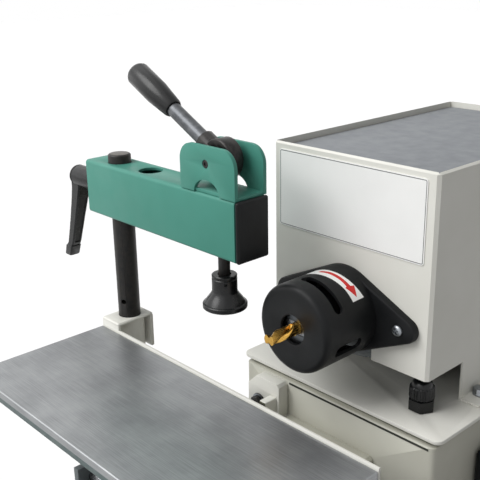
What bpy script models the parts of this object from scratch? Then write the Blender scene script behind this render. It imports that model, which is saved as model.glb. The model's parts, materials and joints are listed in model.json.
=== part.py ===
"""Horizontal slot mortiser: motor head on a sheet base, sliding table, post arm and cam clamp.

Metres, +Z up, X to the operator's right, Y away from the operator. The origin lies on the underside of the
floor plate, below the spindle's axis, in the plane of the motor cover's front face.
"""

import math

import bmesh
import bpy
from mathutils import Matrix, Vector

# Facets
ROUND_SIDES = 20
FINE_SIDES = 36
SMALL_SIDES = 12
BEVEL_STEPS = 1
FLAT_ANGLE = math.radians(35)
QUARTER = math.pi / 2
FULL_TURN = math.pi * 2
HEX_SIDES = 6
HALVES = 2

# Fits shared by every piece
GAP = 0.0003
SLIDE_FIT = 0.0004
SCREW_FIT = 0.0006
OVERRUN = 0.002

# Heights that place the whole machine
KNEE_BASE = 0.064
KNEE_HEIGHT = 0.049
LIFT_ROOM = 0.046
HEAD_DROP = 0.151
SPINDLE_HEIGHT = KNEE_BASE + KNEE_HEIGHT + LIFT_ROOM + HEAD_DROP
SHAFT_HEIGHT = 0.089
BASE_TOP = SPINDLE_HEIGHT - SHAFT_HEIGHT

# Base plates and lower housing
COVER_HALF_WIDTH = 0.100
COVER_FOOT = 0.021
BASE_MARGIN = 0.009
BASE_HALF_WIDTH = COVER_HALF_WIDTH + COVER_FOOT + BASE_MARGIN
BASE_FRONT = -0.020
BASE_BACK = 0.350
BASE_CORNER = 0.008
TOP_PLATE = 0.004
FLOOR_PLATE = 0.005
FLOOR_FRONT = -0.095
GASKET_HEIGHT = 0.005
GASKET_INSET = 0.006
GASKET_WIDTH = 0.018
HOUSING_INSET = 0.005
HOUSING_WALL = 0.0025
HOUSING_CORNER = 0.006
GASKET_BASE = BASE_TOP - TOP_PLATE - GASKET_HEIGHT

# Motor cover
COVER_LENGTH = 0.3162
COVER_RISE = 0.1552
COVER_DROP = 0.0465
COVER_WALL = 0.002
COVER_CORNER = 0.003
TRAY_DEPTH = 0.010
COVER_LEG_START = 0.0597
COVER_NOTCH = 0.034
COVER_TOP = SPINDLE_HEIGHT + COVER_RISE
MAT_THICKNESS = 0.002
MAT_MARGIN = 0.001

# Cover bolts
BOLT_OFFSET = 0.009
BOLT_FRONT = 0.0815
BOLT_HEAD_RADIUS = 0.0075
BOLT_HEAD = 0.0053
BOLT_RADIUS = 0.004
BOLT_LENGTH = 0.0078
WASHER_RADIUS = 0.008
WASHER = 0.0015

# Chuck guard
GUARD_RADIUS = 0.0443
GUARD_LENGTH = 0.0773
GUARD_WALL = 0.0032
GUARD_EDGE = 0.006
GUARD_MOUTH = 0.0145
GUARD_MOUTH_BEVEL = 0.0015
FLANGE_THICKNESS = 0.008
FLANGE_ROUND = 0.045
FLANGE_LOBE = 0.012
FLANGE_REACH = 0.076
FLANGE_BEVEL = 0.0022
GUARD_SCREW_REACH = 0.070
VENT_FRONT = 0.060
VENT_WIDTH = 0.013
VENT_START = math.radians(29)
VENT_END = math.radians(101)
SIDE_VENT_FRONT = 0.062
SIDE_VENT_WIDTH = 0.035
SIDE_VENT_START = math.radians(-27)
SIDE_VENT_END = math.radians(-13)
VENT_STEPS = 12
GUARD_SCREW_HEAD = 0.0055
GUARD_SCREW_RISE = 0.0032
GUARD_SCREW_RADIUS = 0.0025
GUARD_SCREW_TAIL = 0.006

# Chuck and bit
CHUCK_RADIUS = 0.028
CHUCK_NOSE_RADIUS = 0.019
CHUCK_FRONT = -0.071
CHUCK_BACK = -0.020
CHUCK_NOSE = 0.010
JAW_WIDTH = 0.012
JAW_DEPTH = 0.018
JAW_REACH = 0.011
BIT_RADIUS = 0.006
BIT_TIP = -0.1076
BIT_FLUTE = 0.030
BIT_SHANK = 0.018
BIT_TWIST = math.radians(200)
BIT_TWIST_STEPS = 14
BIT_CORE_SHARE = 0.42
BIT_ARC_POINTS = 5

# Motor
MOTOR_RADIUS = 0.057
FIN_HEIGHT = 0.005
FIN_COUNT = 24
FIN_ROOT_SHARE = 0.5
FIN_TIP_SHARE = 0.3
BODY_FRONT = 0.024
BODY_BACK = 0.200
BELL_FRONT = 0.008
BELL_BACK = 0.216
STATOR_BORE = 0.031
MOTOR_FOOT_INNER = 0.030
MOTOR_FOOT_OUTER = 0.056
MOTOR_FOOT_FRONT = 0.080
MOTOR_FOOT_BACK = 0.190
SHAFT_RADIUS = 0.0095
SHAFT_FRONT = -0.035
SHAFT_BACK = 0.240
ROTOR_RADIUS = 0.030
ROTOR_FRONT = 0.055
ROTOR_BACK = 0.170
BEARING_RADIUS = 0.020
BEARING_RECESS = 0.003
FAN_FRONT = 0.221
FAN_BACK = 0.236
FAN_RADIUS = 0.048
FAN_HUB = 0.016
FAN_BLADES = 6
FAN_BLADE = 0.003
FAN_COVER_BACK = 0.250
FAN_COVER_WALL = 0.002
FAN_SLOTS = 6
FAN_SLOT_WIDTH = 0.006
FAN_SLOT_INNER = 0.014
FAN_SLOT_OUTER = 0.048

# Terminal box, lead and gland
BOX_HALF_WIDTH = 0.035
BOX_FRONT = 0.008
BOX_BACK = 0.078
BOX_HEIGHT = 0.042
GLAND_INSET = 0.0185
GLAND_X = COVER_HALF_WIDTH - GLAND_INSET
GLAND_Y = 0.0204
GLAND_RADIUS = 0.0150
GLAND_HEIGHT = 0.012
GLAND_NUT_RADIUS = 0.0145
GLAND_NUT_HEIGHT = 0.013
GLAND_DOME = 0.006
GLAND_THREAD = 0.010
GLAND_TAIL = 0.018
LEAD_RADIUS = 0.00515
LEAD_BEND = 0.040
LEAD_STEPS = 8

# Guide hood, stop bar and nut on the housing front
HOOD_FRONT = -0.034
HOOD_TOP_DROP = 0.100
HOOD_TOP = SPINDLE_HEIGHT - HOOD_TOP_DROP
HOOD_HEIGHT = 0.040
HOOD_LEFT = -0.1071
HOOD_RIGHT = -0.0603
HOOD_CHAMFER = 0.0127
HOOD_NUT_X = -0.090
HOOD_NUT_Z_DROP = 0.130
HOOD_NUT_Z = SPINDLE_HEIGHT - HOOD_NUT_Z_DROP
HOOD_NUT_RADIUS = 0.0065
HOOD_NUT_LENGTH = 0.007
HOOD_WASHER_RADIUS = 0.0085
BAR_LEFT = -0.0735
BAR_RIGHT = -0.064
BAR_FRONT = -0.050
BAR_TOP_DROP = 0.1155
BAR_TOP = SPINDLE_HEIGHT - BAR_TOP_DROP
BAR_HEIGHT = 0.018
BAR_EDGE = 0.0008

# Switch box on the housing's right side
SWITCH_FRONT = 0.050
SWITCH_LENGTH = 0.070
SWITCH_BASE = 0.100
SWITCH_HEIGHT = 0.080
SWITCH_DEPTH = 0.026
SWITCH_WALL = 0.0025
SWITCH_CORNER = 0.004
BUTTON_RADIUS = 0.010
BUTTON_RISE = 0.007
BUTTON_TRAVEL = 0.003
STOP_FLARE = 0.014
STOP_CAP = 0.006

# Columns, head and lift screw
COLUMN_RADIUS = 0.0125
COLUMN_X = 0.040
COLUMN_Y = -0.060
HEAD_BASE = SPINDLE_HEIGHT - HEAD_DROP
HEAD_HEIGHT = 0.014
HEAD_HALF_WIDTH = 0.057
HEAD_FRONT = -0.082
SOCKET_RADIUS = 0.018
SOCKET_HEIGHT = 0.018
SCREW_RADIUS = 0.010

# Knee
KNEE_HALF_WIDTH = 0.080
KNEE_FRONT = -0.084
KNEE_BACK = -0.038
RAIL_WIDTH = 0.016
RAIL_HEIGHT = 0.018
END_PLATE = 0.010
END_PLATE_FRONT = -0.312
DEPTH_ROD_RADIUS = 0.008
DEPTH_ROD_X = 0.060
DEPTH_ROD_RISE = 0.036
DRIVE_RISE = 0.012
DRIVE_RADIUS = 0.006
NUT_RADIUS = 0.016
NUT_FLANGE = 0.020
NUT_FLANGE_HEIGHT = 0.004
CASTING_CORNER = 0.003

# Front handwheel
WHEEL_RADIUS = 0.034
WHEEL_RIM = 0.0055
WHEEL_HUB = 0.012
WHEEL_HUB_LENGTH = 0.018
WHEEL_SPOKES = 3
WHEEL_SPOKE = 0.004
WHEEL_KNOB = 0.007
WHEEL_KNOB_LENGTH = 0.022

# Depth carriage
CARRIAGE_LEFT = -0.150
CARRIAGE_RIGHT = 0.080
CARRIAGE_FRONT = -0.240
CARRIAGE_BACK = -0.130
CARRIAGE_PLATE = 0.012
CARRIAGE_BASE_RISE = 0.042
CARRIAGE_BASE = KNEE_BASE + CARRIAGE_BASE_RISE
BEARING_HALF_WIDTH = 0.014
BEARING_DROP = 0.018
BRACKET_WALL = 0.008
BRACKET_HEIGHT = 0.044
TRAVEL_ROD_RADIUS = 0.008
TRAVEL_ROD_FRONT = -0.215
TRAVEL_ROD_BACK = -0.175
TRAVEL_ROD_RISE = 0.028
CARRIAGE_TOP = CARRIAGE_BASE + CARRIAGE_PLATE

# Levers that drive the table, each a fork bar with a round handle and a ball knob
LEVER_REACH = 0.110
LEVER_GAIN_SHARE = 1.035
LEVER_WIDTH = 0.026
LEVER_THICKNESS = 0.006
LEVER_BAR = 0.150
LEVER_LENGTH = 0.250
LEVER_ROD = 0.005
LEVER_KNOB = 0.0125
LEVER_SLOT_PLAY = 0.0024
LEVER_SLOT_END = 0.012
LEVER_LIFT = 0.0035
STUD_RADIUS = 0.006
STUD_CAP = 0.009
STUD_CAP_HEIGHT = 0.0015
DRIVE_PIN_RADIUS = 0.005
TRAVEL_PIVOT_Y = -0.142
DEPTH_PIVOT_X = -KNEE_HALF_WIDTH + RAIL_WIDTH / HALVES

# Joint limits that the geometry follows
DEPTH_LOW = -0.060
DEPTH_HIGH = 0.034
TRAVEL_LOW = -0.086
TRAVEL_HIGH = 0.014
DEPTH_PIN_REST_Y = -0.190
TRAVEL_PIN_REST_X = 0.0

# Table and its saddle
TABLE_LEFT = -0.2644
TABLE_LENGTH = 0.400
TABLE_FRONT = -0.2763
TABLE_DEPTH = 0.160
TABLE_DROP = 0.0689
TABLE_THICKNESS = 0.014
TABLE_BEVEL = 0.0008
TABLE_TOP = SPINDLE_HEIGHT - TABLE_DROP
TABLE_UNDERSIDE = TABLE_TOP - TABLE_THICKNESS
TABLE_BACK = TABLE_FRONT + TABLE_DEPTH
TABLE_RIGHT = TABLE_LEFT + TABLE_LENGTH
SADDLE_LEFT = -0.054
SADDLE_RIGHT = 0.050
SADDLE_FRONT = -0.235
SADDLE_BACK = -0.155
SADDLE_BLOCK = 0.032
SADDLE_NECK_INSET = 0.010
SADDLE_TOP_LEFT = -0.140
SADDLE_TOP_RIGHT = 0.070
SADDLE_TOP_FRONT = -0.266
SADDLE_TOP_BACK = -0.126
SADDLE_TOP_THICKNESS = 0.012

# Post bracket and post
POST_X = -0.2493
POST_Y = -0.0884
POST_RADIUS = 0.0125
POST_TOP_RISE = 0.1318
POST_TOP = SPINDLE_HEIGHT + POST_TOP_RISE
POST_CHAMFER = 0.0015
POST_HOLE_RADIUS = 0.003
POST_HOLE_Z_DROP = 0.039
POST_HOLE_Z = SPINDLE_HEIGHT - POST_HOLE_Z_DROP
POST_HOLE_TURN = math.radians(-64)
SHEET = 0.004
BRACKET_LEFT = -0.2653
BRACKET_RIGHT = -0.2333
BRACKET_BACK = -0.0669
BRACKET_TOP_DROP = 0.0579
BRACKET_TOP = SPINDLE_HEIGHT - BRACKET_TOP_DROP
BRACKET_BEND = 0.003
REAR_FLANGE_DROP = 0.042
LIP_THICKNESS = 0.0025
LIP_RISE = 0.0025
POST_SOCKET_WALL = 0.0035
POST_SOCKET_DEPTH = 0.038
POST_SOCKET_FLOOR = 0.004

# Arm tube and its ends
ARM_LEFT = -0.2862
ARM_RIGHT = -0.0432
ARM_WIDTH = 0.040
ARM_HEIGHT = 0.0599
ARM_WALL = 0.003
ARM_CORNER = 0.0035
ARM_BASE_RISE = 0.0624
ARM_BASE = SPINDLE_HEIGHT + ARM_BASE_RISE
ARM_TOP = ARM_BASE + ARM_HEIGHT
ARM_MIDDLE = ARM_BASE + ARM_HEIGHT / HALVES
ARM_HOLE_X = -0.1932
ARM_HOLE_RADIUS = 0.013
END_CAP_THICKNESS = 0.005
END_CAP_PLUG = 0.010
END_PLUG_LENGTH = 0.012
ARM_FRONT = POST_Y - ARM_WIDTH / HALVES
ARM_BACK = POST_Y + ARM_WIDTH / HALVES

# Cam saddle, pin, cam and lever
EAR = 0.004
EAR_LEFT = -0.1187
EAR_RIGHT = -0.0415
EAR_TOP_RISE = 0.1683
EAR_TOP = SPINDLE_HEIGHT + EAR_TOP_RISE
EAR_ROUND = 0.017
EAR_ARCH_HALF_WIDTH = 0.018
EAR_ARCH_RISE = 0.0135
SADDLE_WEB = 0.003
PIVOT_X = -0.0815
PIVOT_Z_RISE = 0.1512
PIVOT_Z = SPINDLE_HEIGHT + PIVOT_Z_RISE
PIN_RADIUS = 0.004
PIN_HEAD = 0.0065
PIN_HEAD_HEIGHT = 0.0025
CAM_RADIUS = 0.0198
CAM_THICKNESS = 0.017
CAM_OFFSET_X = 0.0032
CAM_OFFSET_Z = 0.0024
CAM_BEVEL = 0.0012
LEVER_RISE = math.radians(27.8)
HANDLE_ROD = 0.0075
HANDLE_BOSS = 0.0105
HANDLE_BOSS_REACH = 0.030
GRIP_START = 0.0815
GRIP_LENGTH = 0.0685
GRIP_NECK = 0.009
GRIP_RADIUS = 0.0125
GRIP_SWELL = 0.0285
GRIP_TIP = 0.006

# Plunger, spring and foot
PLUNGER_X = -0.081
PLUNGER_RADIUS = 0.006
PLUNGER_TOP_RISE = 0.1335
PLUNGER_TOP = SPINDLE_HEIGHT + PLUNGER_TOP_RISE
PLUNGER_COLLAR = 0.0105
PLUNGER_COLLAR_HEIGHT = 0.003
PLUNGER_COLLAR_Z_RISE = 0.104
PLUNGER_COLLAR_Z = SPINDLE_HEIGHT + PLUNGER_COLLAR_Z_RISE
SPRING_RADIUS = 0.0085
SPRING_WIRE = 0.0009
SPRING_TURNS = 6
SPRING_TURN_POINTS = 8
FOOT_BASE_RISE = 0.0028
FOOT_BASE = SPINDLE_HEIGHT + FOOT_BASE_RISE
FOOT_RADIUS = 0.0215
FOOT_RIM = 0.004
FOOT_COLLAR = 0.012
FOOT_COLLAR_BASE = 0.0172
FOOT_HEIGHT = 0.0352
FOOT_SEAT = 0.006
FOOT_NECK = 0.0135

# Lock lever at the arm's left end
LOCK_HUB = 0.01235
LOCK_LENGTH = 0.0545
LOCK_DOME = 0.004
LOCK_STUD = 0.005
LOCK_HANDLE_ROOT = 0.0095
LOCK_HANDLE_TIP = 0.0058
LOCK_ROOT_X = -0.333
LOCK_ROOT_DROP = 0.010
LOCK_MID_X = -0.3545
LOCK_MID_DROP = 0.0664
LOCK_TIP_X = -0.370
LOCK_TIP_DROP = 0.1094

# Finishes: colour, roughness and metallic value
MERGE = 0.00001
COLLECTION = "slot_mortiser"
FINISHES = {
    "beige_paint": ((0.62, 0.60, 0.54), 0.45, 0.0),
    "green_paint": ((0.10, 0.32, 0.25), 0.42, 0.0),
    "black_plastic": ((0.018, 0.018, 0.020), 0.40, 0.0),
    "black_steel": ((0.020, 0.020, 0.022), 0.45, 0.3),
    "ground_steel": ((0.42, 0.42, 0.44), 0.30, 1.0),
    "dark_steel": ((0.16, 0.17, 0.18), 0.50, 0.8),
    "grey_casting": ((0.20, 0.22, 0.23), 0.60, 0.3),
    "grey_rubber": ((0.24, 0.24, 0.26), 0.75, 0.0),
    "dark_rubber": ((0.030, 0.030, 0.030), 0.70, 0.0),
    "gold_coating": ((0.62, 0.42, 0.12), 0.28, 1.0),
    "motor_grey": ((0.22, 0.23, 0.24), 0.50, 0.4),
    "stop_red": ((0.50, 0.03, 0.02), 0.40, 0.0),
    "start_green": ((0.03, 0.30, 0.08), 0.40, 0.0),
}

# Where each joint's empty rests
REST = {}

# Views: an outline drawn from the front or from the right side
FRONT_VIEW = Matrix.Rotation(QUARTER, 4, "X")
SIDE_VIEW = Matrix(((0, 0, 1, 0), (1, 0, 0, 0), (0, 1, 0, 0), (0, 0, 0, 1)))


def clear_scene():
    for obj in list(bpy.data.objects):
        bpy.data.objects.remove(obj, do_unlink=True)


def new_collection(name):
    collection = bpy.data.collections.new(name)
    bpy.context.scene.collection.children.link(collection)
    return collection


def finish(name):
    """The named paint, metal or plastic, made when it is first asked for."""
    found = bpy.data.materials.get(name)
    if found:
        return found
    colour, roughness, metallic = FINISHES[name]
    made = bpy.data.materials.new(name)
    made.use_nodes = True
    made.diffuse_color = (*colour, 1)
    shader = made.node_tree.nodes["Principled BSDF"]
    shader.inputs["Base Color"].default_value = (*colour, 1)
    shader.inputs["Roughness"].default_value = roughness
    shader.inputs["Metallic"].default_value = metallic
    return made


def add_object(name, mesh, place):
    """Link a mesh at its place, smooth where its faces meet gently."""
    if mesh.polygons:
        mesh.shade_smooth()
        mesh.set_sharp_from_angle(angle=FLAT_ANGLE)
    obj = bpy.data.objects.new(name, mesh)
    obj.matrix_world = place
    PARTS.objects.link(obj)
    return obj


def mesh_from(shape, name):
    """Store a bmesh as a mesh and free it."""
    mesh = bpy.data.meshes.new(name)
    shape.to_mesh(mesh)
    shape.free()
    return mesh


def add_bevel(obj, width, steps=BEVEL_STEPS):
    bevel = obj.modifiers.new("Bevel", "BEVEL")
    bevel.width = width
    bevel.segments = steps
    bevel.limit_method = "ANGLE"
    bevel.angle_limit = FLAT_ANGLE


def placed(point, direction):
    """A frame at a point whose Z axis runs along a direction."""
    turn = Vector(direction).to_track_quat("Z", "Y").to_matrix().to_4x4()
    return Matrix.Translation(Vector(point)) @ turn


def box(name, x, y, z, bevel=0.0):
    """A block between pairs of X, Y and Z values."""
    low = Vector((x[0], y[0], z[0]))
    high = Vector((x[1], y[1], z[1]))
    shape = bmesh.new()
    bmesh.ops.create_cube(shape, size=1)
    bmesh.ops.scale(shape, vec=high - low, verts=shape.verts)
    obj = add_object(name, mesh_from(shape, name), Matrix.Translation((low + high) / HALVES))
    if bevel:
        add_bevel(obj, bevel)
    return obj


def rod(name, start, end, radius, sides=ROUND_SIDES, end_radius=None):
    """A round bar between two points, straight or tapered."""
    start = Vector(start)
    end = Vector(end)
    tip = radius if end_radius is None else end_radius
    length = (end - start).length
    shape = bmesh.new()
    bmesh.ops.create_cone(
        shape, cap_ends=True, segments=sides, radius1=radius, radius2=tip, depth=length)
    place = placed((start + end) / HALVES, end - start)
    return add_object(name, mesh_from(shape, name), place)


def ball(name, centre, radius, sides=SMALL_SIDES):
    shape = bmesh.new()
    bmesh.ops.create_uvsphere(shape, u_segments=sides, v_segments=sides // HALVES, radius=radius)
    return add_object(name, mesh_from(shape, name), Matrix.Translation(Vector(centre)))


def turned(name, profile, start, direction, sides=ROUND_SIDES, closed=False):
    """A turned piece; the profile goes up its outer side as (radius, height) pairs from the start."""
    points = [(radius, 0, height) for radius, height in reversed(profile)]
    edges = [(index, index + 1) for index in range(len(points) - 1)]
    if closed:
        edges.append((len(points) - 1, 0))
    mesh = bpy.data.meshes.new(name)
    mesh.from_pydata(points, edges, [])
    obj = add_object(name, mesh, placed(start, direction))
    screw = obj.modifiers.new("Turn", "SCREW")
    screw.steps = sides
    screw.render_steps = sides
    screw.use_merge_vertices = True
    screw.merge_threshold = MERGE
    return obj


def sleeve(name, start, end, outer, inner, sides=ROUND_SIDES):
    """A round tube between two points."""
    length = (Vector(end) - Vector(start)).length
    profile = [(inner, 0), (outer, 0), (outer, length), (inner, length)]
    return turned(name, profile, start, Vector(end) - Vector(start), sides, closed=True)


def meshed(name, curve, place):
    """The closed mesh of a curve, which Booleans can cut."""
    guide = bpy.data.objects.new(name + "_guide", curve)
    PARTS.objects.link(guide)
    graph = bpy.context.evaluated_depsgraph_get()
    mesh = bpy.data.meshes.new_from_object(guide.evaluated_get(graph))
    bpy.data.objects.remove(guide)
    shape = bmesh.new()
    shape.from_mesh(mesh)
    bmesh.ops.remove_doubles(shape, verts=shape.verts, dist=MERGE)
    bmesh.ops.recalc_face_normals(shape, faces=shape.faces)
    return add_object(name, mesh_from(shape, name), place)


def flat(name, outline, thickness, place, holes=()):
    """A plate cut to an outline in its frame's XY plane, half its thickness on either side."""
    curve = bpy.data.curves.new(name, "CURVE")
    curve.dimensions = "2D"
    curve.fill_mode = "BOTH"
    curve.extrude = thickness / HALVES
    for loop in (outline, *holes):
        spline = curve.splines.new("POLY")
        spline.points.add(len(loop) - 1)
        for point, (x, y) in zip(spline.points, loop):
            point.co = (x, y, 0, 1)
        spline.use_cyclic_u = True
    return meshed(name, curve, place)


def chamfered(name, outline, thickness, edge, place):
    """A plate on an outline in its frame's XY plane, drawn up to a chamfered upper face."""
    shape = bmesh.new()
    base = shape.faces.new([shape.verts.new((x, y, 0)) for x, y in outline])
    drawn = bmesh.ops.extrude_face_region(shape, geom=[base])["geom"]
    corners = [item for item in drawn if isinstance(item, bmesh.types.BMVert)]
    bmesh.ops.translate(shape, vec=(0, 0, thickness - edge), verts=corners)
    top = [item for item in drawn if isinstance(item, bmesh.types.BMFace)]
    bmesh.ops.inset_region(shape, faces=top, thickness=edge, depth=edge, use_even_offset=True)
    bmesh.ops.recalc_face_normals(shape, faces=shape.faces)
    return add_object(name, mesh_from(shape, name), place)


def tube(name, points, radius, shares=None, roundness=2):
    """A round bar along points; shares scale its radius at each point."""
    curve = bpy.data.curves.new(name, "CURVE")
    curve.dimensions = "3D"
    curve.bevel_depth = radius
    curve.bevel_resolution = roundness
    curve.use_fill_caps = True
    spline = curve.splines.new("POLY")
    spline.points.add(len(points) - 1)
    for index, point in enumerate(points):
        spline.points[index].co = (*point, 1)
        spline.points[index].radius = shares[index] if shares else 1
    return meshed(name, curve, Matrix.Identity(4))


def arc(centre, radius, start, end, steps):
    """Points along an arc, both ends included."""
    angles = [start + (end - start) * step / steps for step in range(steps + 1)]
    return [(centre[0] + radius * math.cos(a), centre[1] + radius * math.sin(a)) for a in angles]


def combine(piece, other, operation):
    """Cut a piece by another or join another to it; the other becomes a hidden guide."""
    modifier = piece.modifiers.new(operation.title(), "BOOLEAN")
    modifier.operation = operation
    modifier.object = other
    if other.name in PARTS.objects:
        PARTS.objects.unlink(other)
        CUTTERS.objects.link(other)
    other.hide_render = True
    other.display_type = "WIRE"


def cut(piece, *others):
    for other in others:
        combine(piece, other, "DIFFERENCE")


def join(piece, *others):
    for other in others:
        combine(piece, other, "UNION")


def pivot(name, point, parent=None):
    """An empty on a joint's axis, carried by the joint before it."""
    empty = bpy.data.objects.new(name, None)
    empty.location = point
    REST[name] = Vector(point)
    PARTS.objects.link(empty)
    if parent:
        hang(empty, parent)
    return empty


def hang(child, parent):
    """Carry an object on an empty without moving it."""
    child.parent = parent
    child.matrix_parent_inverse = Matrix.Translation(-REST[parent.name])


def dress(piece, coat, carrier=None):
    """Give a piece its finish and the joint that carries it."""
    piece.data.materials.clear()
    piece.data.materials.append(finish(coat))
    if carrier:
        hang(piece, carrier)
    return piece


def rounded(x, y, radius, steps=4):
    """A rectangle between pairs of X and Y values with rounded corners."""
    corners = (
        (x[1] - radius, y[0] + radius, -QUARTER),
        (x[1] - radius, y[1] - radius, 0),
        (x[0] + radius, y[1] - radius, QUARTER),
        (x[0] + radius, y[0] + radius, QUARTER * 2),
    )
    outline = []
    for centre_x, centre_y, start in corners:
        outline += arc((centre_x, centre_y), radius, start, start + QUARTER, steps)
    return outline


def level(height):
    return Matrix.Translation((0, 0, height))


def slab(name, x, y, z, radius, holes=()):
    """A level plate with rounded corners between pairs of X, Y and Z values."""
    return flat(name, rounded(x, y, radius), z[1] - z[0], level((z[0] + z[1]) / HALVES), holes)


def make_base():
    """Floor plate, sheet housing with the welded column head, gasket and top plate."""
    sides = (-BASE_HALF_WIDTH, BASE_HALF_WIDTH)
    floor = slab("base_floor", sides, (FLOOR_FRONT, BASE_BACK), (0, FLOOR_PLATE), BASE_CORNER)
    for side in (-1, 1):
        x = side * COLUMN_X
        socket = sleeve(
            "socket", (x, COLUMN_Y, FLOOR_PLATE - GAP), (x, COLUMN_Y, FLOOR_PLATE + SOCKET_HEIGHT),
            SOCKET_RADIUS, COLUMN_RADIUS + GAP)
        join(floor, socket)
    screw_seat = sleeve(
        "socket", (0, COLUMN_Y, FLOOR_PLATE - GAP), (0, COLUMN_Y, FLOOR_PLATE + SOCKET_HEIGHT),
        SOCKET_RADIUS, SCREW_RADIUS + GAP)
    join(floor, screw_seat)
    dress(floor, "beige_paint")

    half = BASE_HALF_WIDTH - HOUSING_INSET
    housing = slab(
        "base_housing", (-half, half), (BASE_FRONT, BASE_BACK - HOUSING_INSET),
        (FLOOR_PLATE + GAP, GASKET_BASE - GAP), HOUSING_CORNER)
    add_bevel(housing, COVER_CORNER)
    inner = half - HOUSING_WALL
    hollow = box(
        "hollow", (-inner, inner),
        (BASE_FRONT + HOUSING_WALL, BASE_BACK - HOUSING_INSET - HOUSING_WALL),
        (0, GASKET_BASE - GAP - HOUSING_WALL))
    rim = inner - GASKET_WIDTH
    window = box(
        "window", (-rim, rim), (BASE_FRONT + GASKET_WIDTH + GASKET_INSET, BASE_BACK - GASKET_WIDTH * 2),
        (GASKET_BASE - TRAY_DEPTH, GASKET_BASE + OVERRUN))
    gland_hole = rod(
        "gland_hole", (GLAND_X, GLAND_Y, GASKET_BASE - TRAY_DEPTH),
        (GLAND_X, GLAND_Y, GASKET_BASE + OVERRUN), GLAND_THREAD + SCREW_FIT, SMALL_SIDES)
    cut(housing, hollow, window, gland_hole)
    head = box(
        "column_head", (-HEAD_HALF_WIDTH, HEAD_HALF_WIDTH),
        (HEAD_FRONT, BASE_FRONT + HOUSING_WALL / HALVES),
        (HEAD_BASE, HEAD_BASE + HEAD_HEIGHT), CASTING_CORNER)
    join(housing, head)
    for x, radius in bar_places():
        cut(housing, rod(
            "bar_hole", (x, COLUMN_Y, HEAD_BASE - OVERRUN),
            (x, COLUMN_Y, HEAD_BASE + HEAD_HEIGHT + OVERRUN),
            radius + GAP))
    dress(housing, "beige_paint")

    edge = BASE_HALF_WIDTH - GASKET_INSET
    inside = edge - GASKET_WIDTH
    gasket = slab(
        "base_gasket", (-edge, edge), (BASE_FRONT + GASKET_INSET, BASE_BACK - GASKET_INSET),
        (GASKET_BASE, BASE_TOP - TOP_PLATE - GAP), BASE_CORNER,
        [rounded(
            (-inside, inside),
            (BASE_FRONT + GASKET_INSET + GASKET_WIDTH, BASE_BACK - GASKET_INSET - GASKET_WIDTH),
            BASE_CORNER)])
    dress(gasket, "dark_rubber")

    top = slab(
        "base_top_plate", sides, (BASE_FRONT, BASE_BACK), (BASE_TOP - TOP_PLATE, BASE_TOP), BASE_CORNER)
    plate_hole = rod(
        "plate_hole", (GLAND_X, GLAND_Y, GASKET_BASE), (GLAND_X, GLAND_Y, BASE_TOP + OVERRUN),
        GLAND_THREAD + SCREW_FIT, SMALL_SIDES)
    cut(top, plate_hole)
    for x, y in bolt_places():
        cut(top, rod(
            "bolt_hole", (x, y, GASKET_BASE), (x, y, BASE_TOP + OVERRUN),
            BOLT_RADIUS + SLIDE_FIT, SMALL_SIDES))
    dress(top, "beige_paint")


def bolt_places():
    """The two cover bolts, right one first."""
    reach = COVER_HALF_WIDTH + BOLT_OFFSET
    return [(reach, BOLT_FRONT), (-reach, BOLT_FRONT)]


def make_cover():
    """One sheet cover: tray on top, notch round the guard, legs and outward feet at the sides."""
    bottom = BASE_TOP + GAP
    half = COVER_HALF_WIDTH
    inner = half - COVER_WALL
    tray_floor = COVER_TOP - TRAY_DEPTH
    cover = box(
        "motor_cover", (-half, half), (0, COVER_LENGTH), (bottom - COVER_CORNER * 2, COVER_TOP),
        COVER_CORNER)
    depth = (COVER_WALL, COVER_LENGTH - COVER_WALL)
    cavity = box("cavity", (-inner, inner), depth, (bottom - TRAY_DEPTH, tray_floor - COVER_WALL))
    tray = box("tray", (-inner, inner), depth, (tray_floor, COVER_TOP + TRAY_DEPTH))
    step = box(
        "step", (-half * 2, half * 2), (-COVER_LEG_START, COVER_LEG_START),
        (0, SPINDLE_HEIGHT - COVER_DROP))
    trim = box("trim", (-half * 2, half * 2), (-COVER_LENGTH, COVER_LENGTH * 2), (0, bottom))
    cut(cover, cavity, tray, step, trim)
    notch = [(COVER_NOTCH, -COVER_DROP * 2), *arc((0, 0), COVER_NOTCH, 0, QUARTER * 2, 16)]
    notch.append((-COVER_NOTCH, -COVER_DROP * 2))
    notch_place = Matrix.Translation((0, 0, SPINDLE_HEIGHT)) @ FRONT_VIEW
    cut(cover, flat("notch", notch, COVER_NOTCH, notch_place))
    for side in (-1, 1):
        x = side * GUARD_SCREW_REACH
        cut(cover, rod(
            "screw_hole", (x, -OVERRUN, SPINDLE_HEIGHT), (x, COVER_WALL + OVERRUN, SPINDLE_HEIGHT),
            GUARD_SCREW_RADIUS + SCREW_FIT, SMALL_SIDES))
        edges = sorted((side * (inner + COVER_WALL / HALVES), side * (half + COVER_FOOT)))
        foot = box(
            "foot", edges, (COVER_LEG_START, COVER_LENGTH - COVER_CORNER), (bottom, bottom + COVER_WALL))
        join(cover, foot)
    for x, y in bolt_places():
        cut(cover, rod(
            "bolt_hole", (x, y, BASE_TOP - OVERRUN), (x, y, BASE_TOP + TRAY_DEPTH),
            BOLT_RADIUS + SLIDE_FIT, SMALL_SIDES))
    dress(cover, "beige_paint")

    reach = inner - MAT_MARGIN
    mat = slab(
        "tray_mat", (-reach, reach), (depth[0] + MAT_MARGIN, depth[1] - MAT_MARGIN),
        (tray_floor + GAP, tray_floor + GAP + MAT_THICKNESS), COVER_CORNER)
    dress(mat, "grey_rubber")


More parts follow.
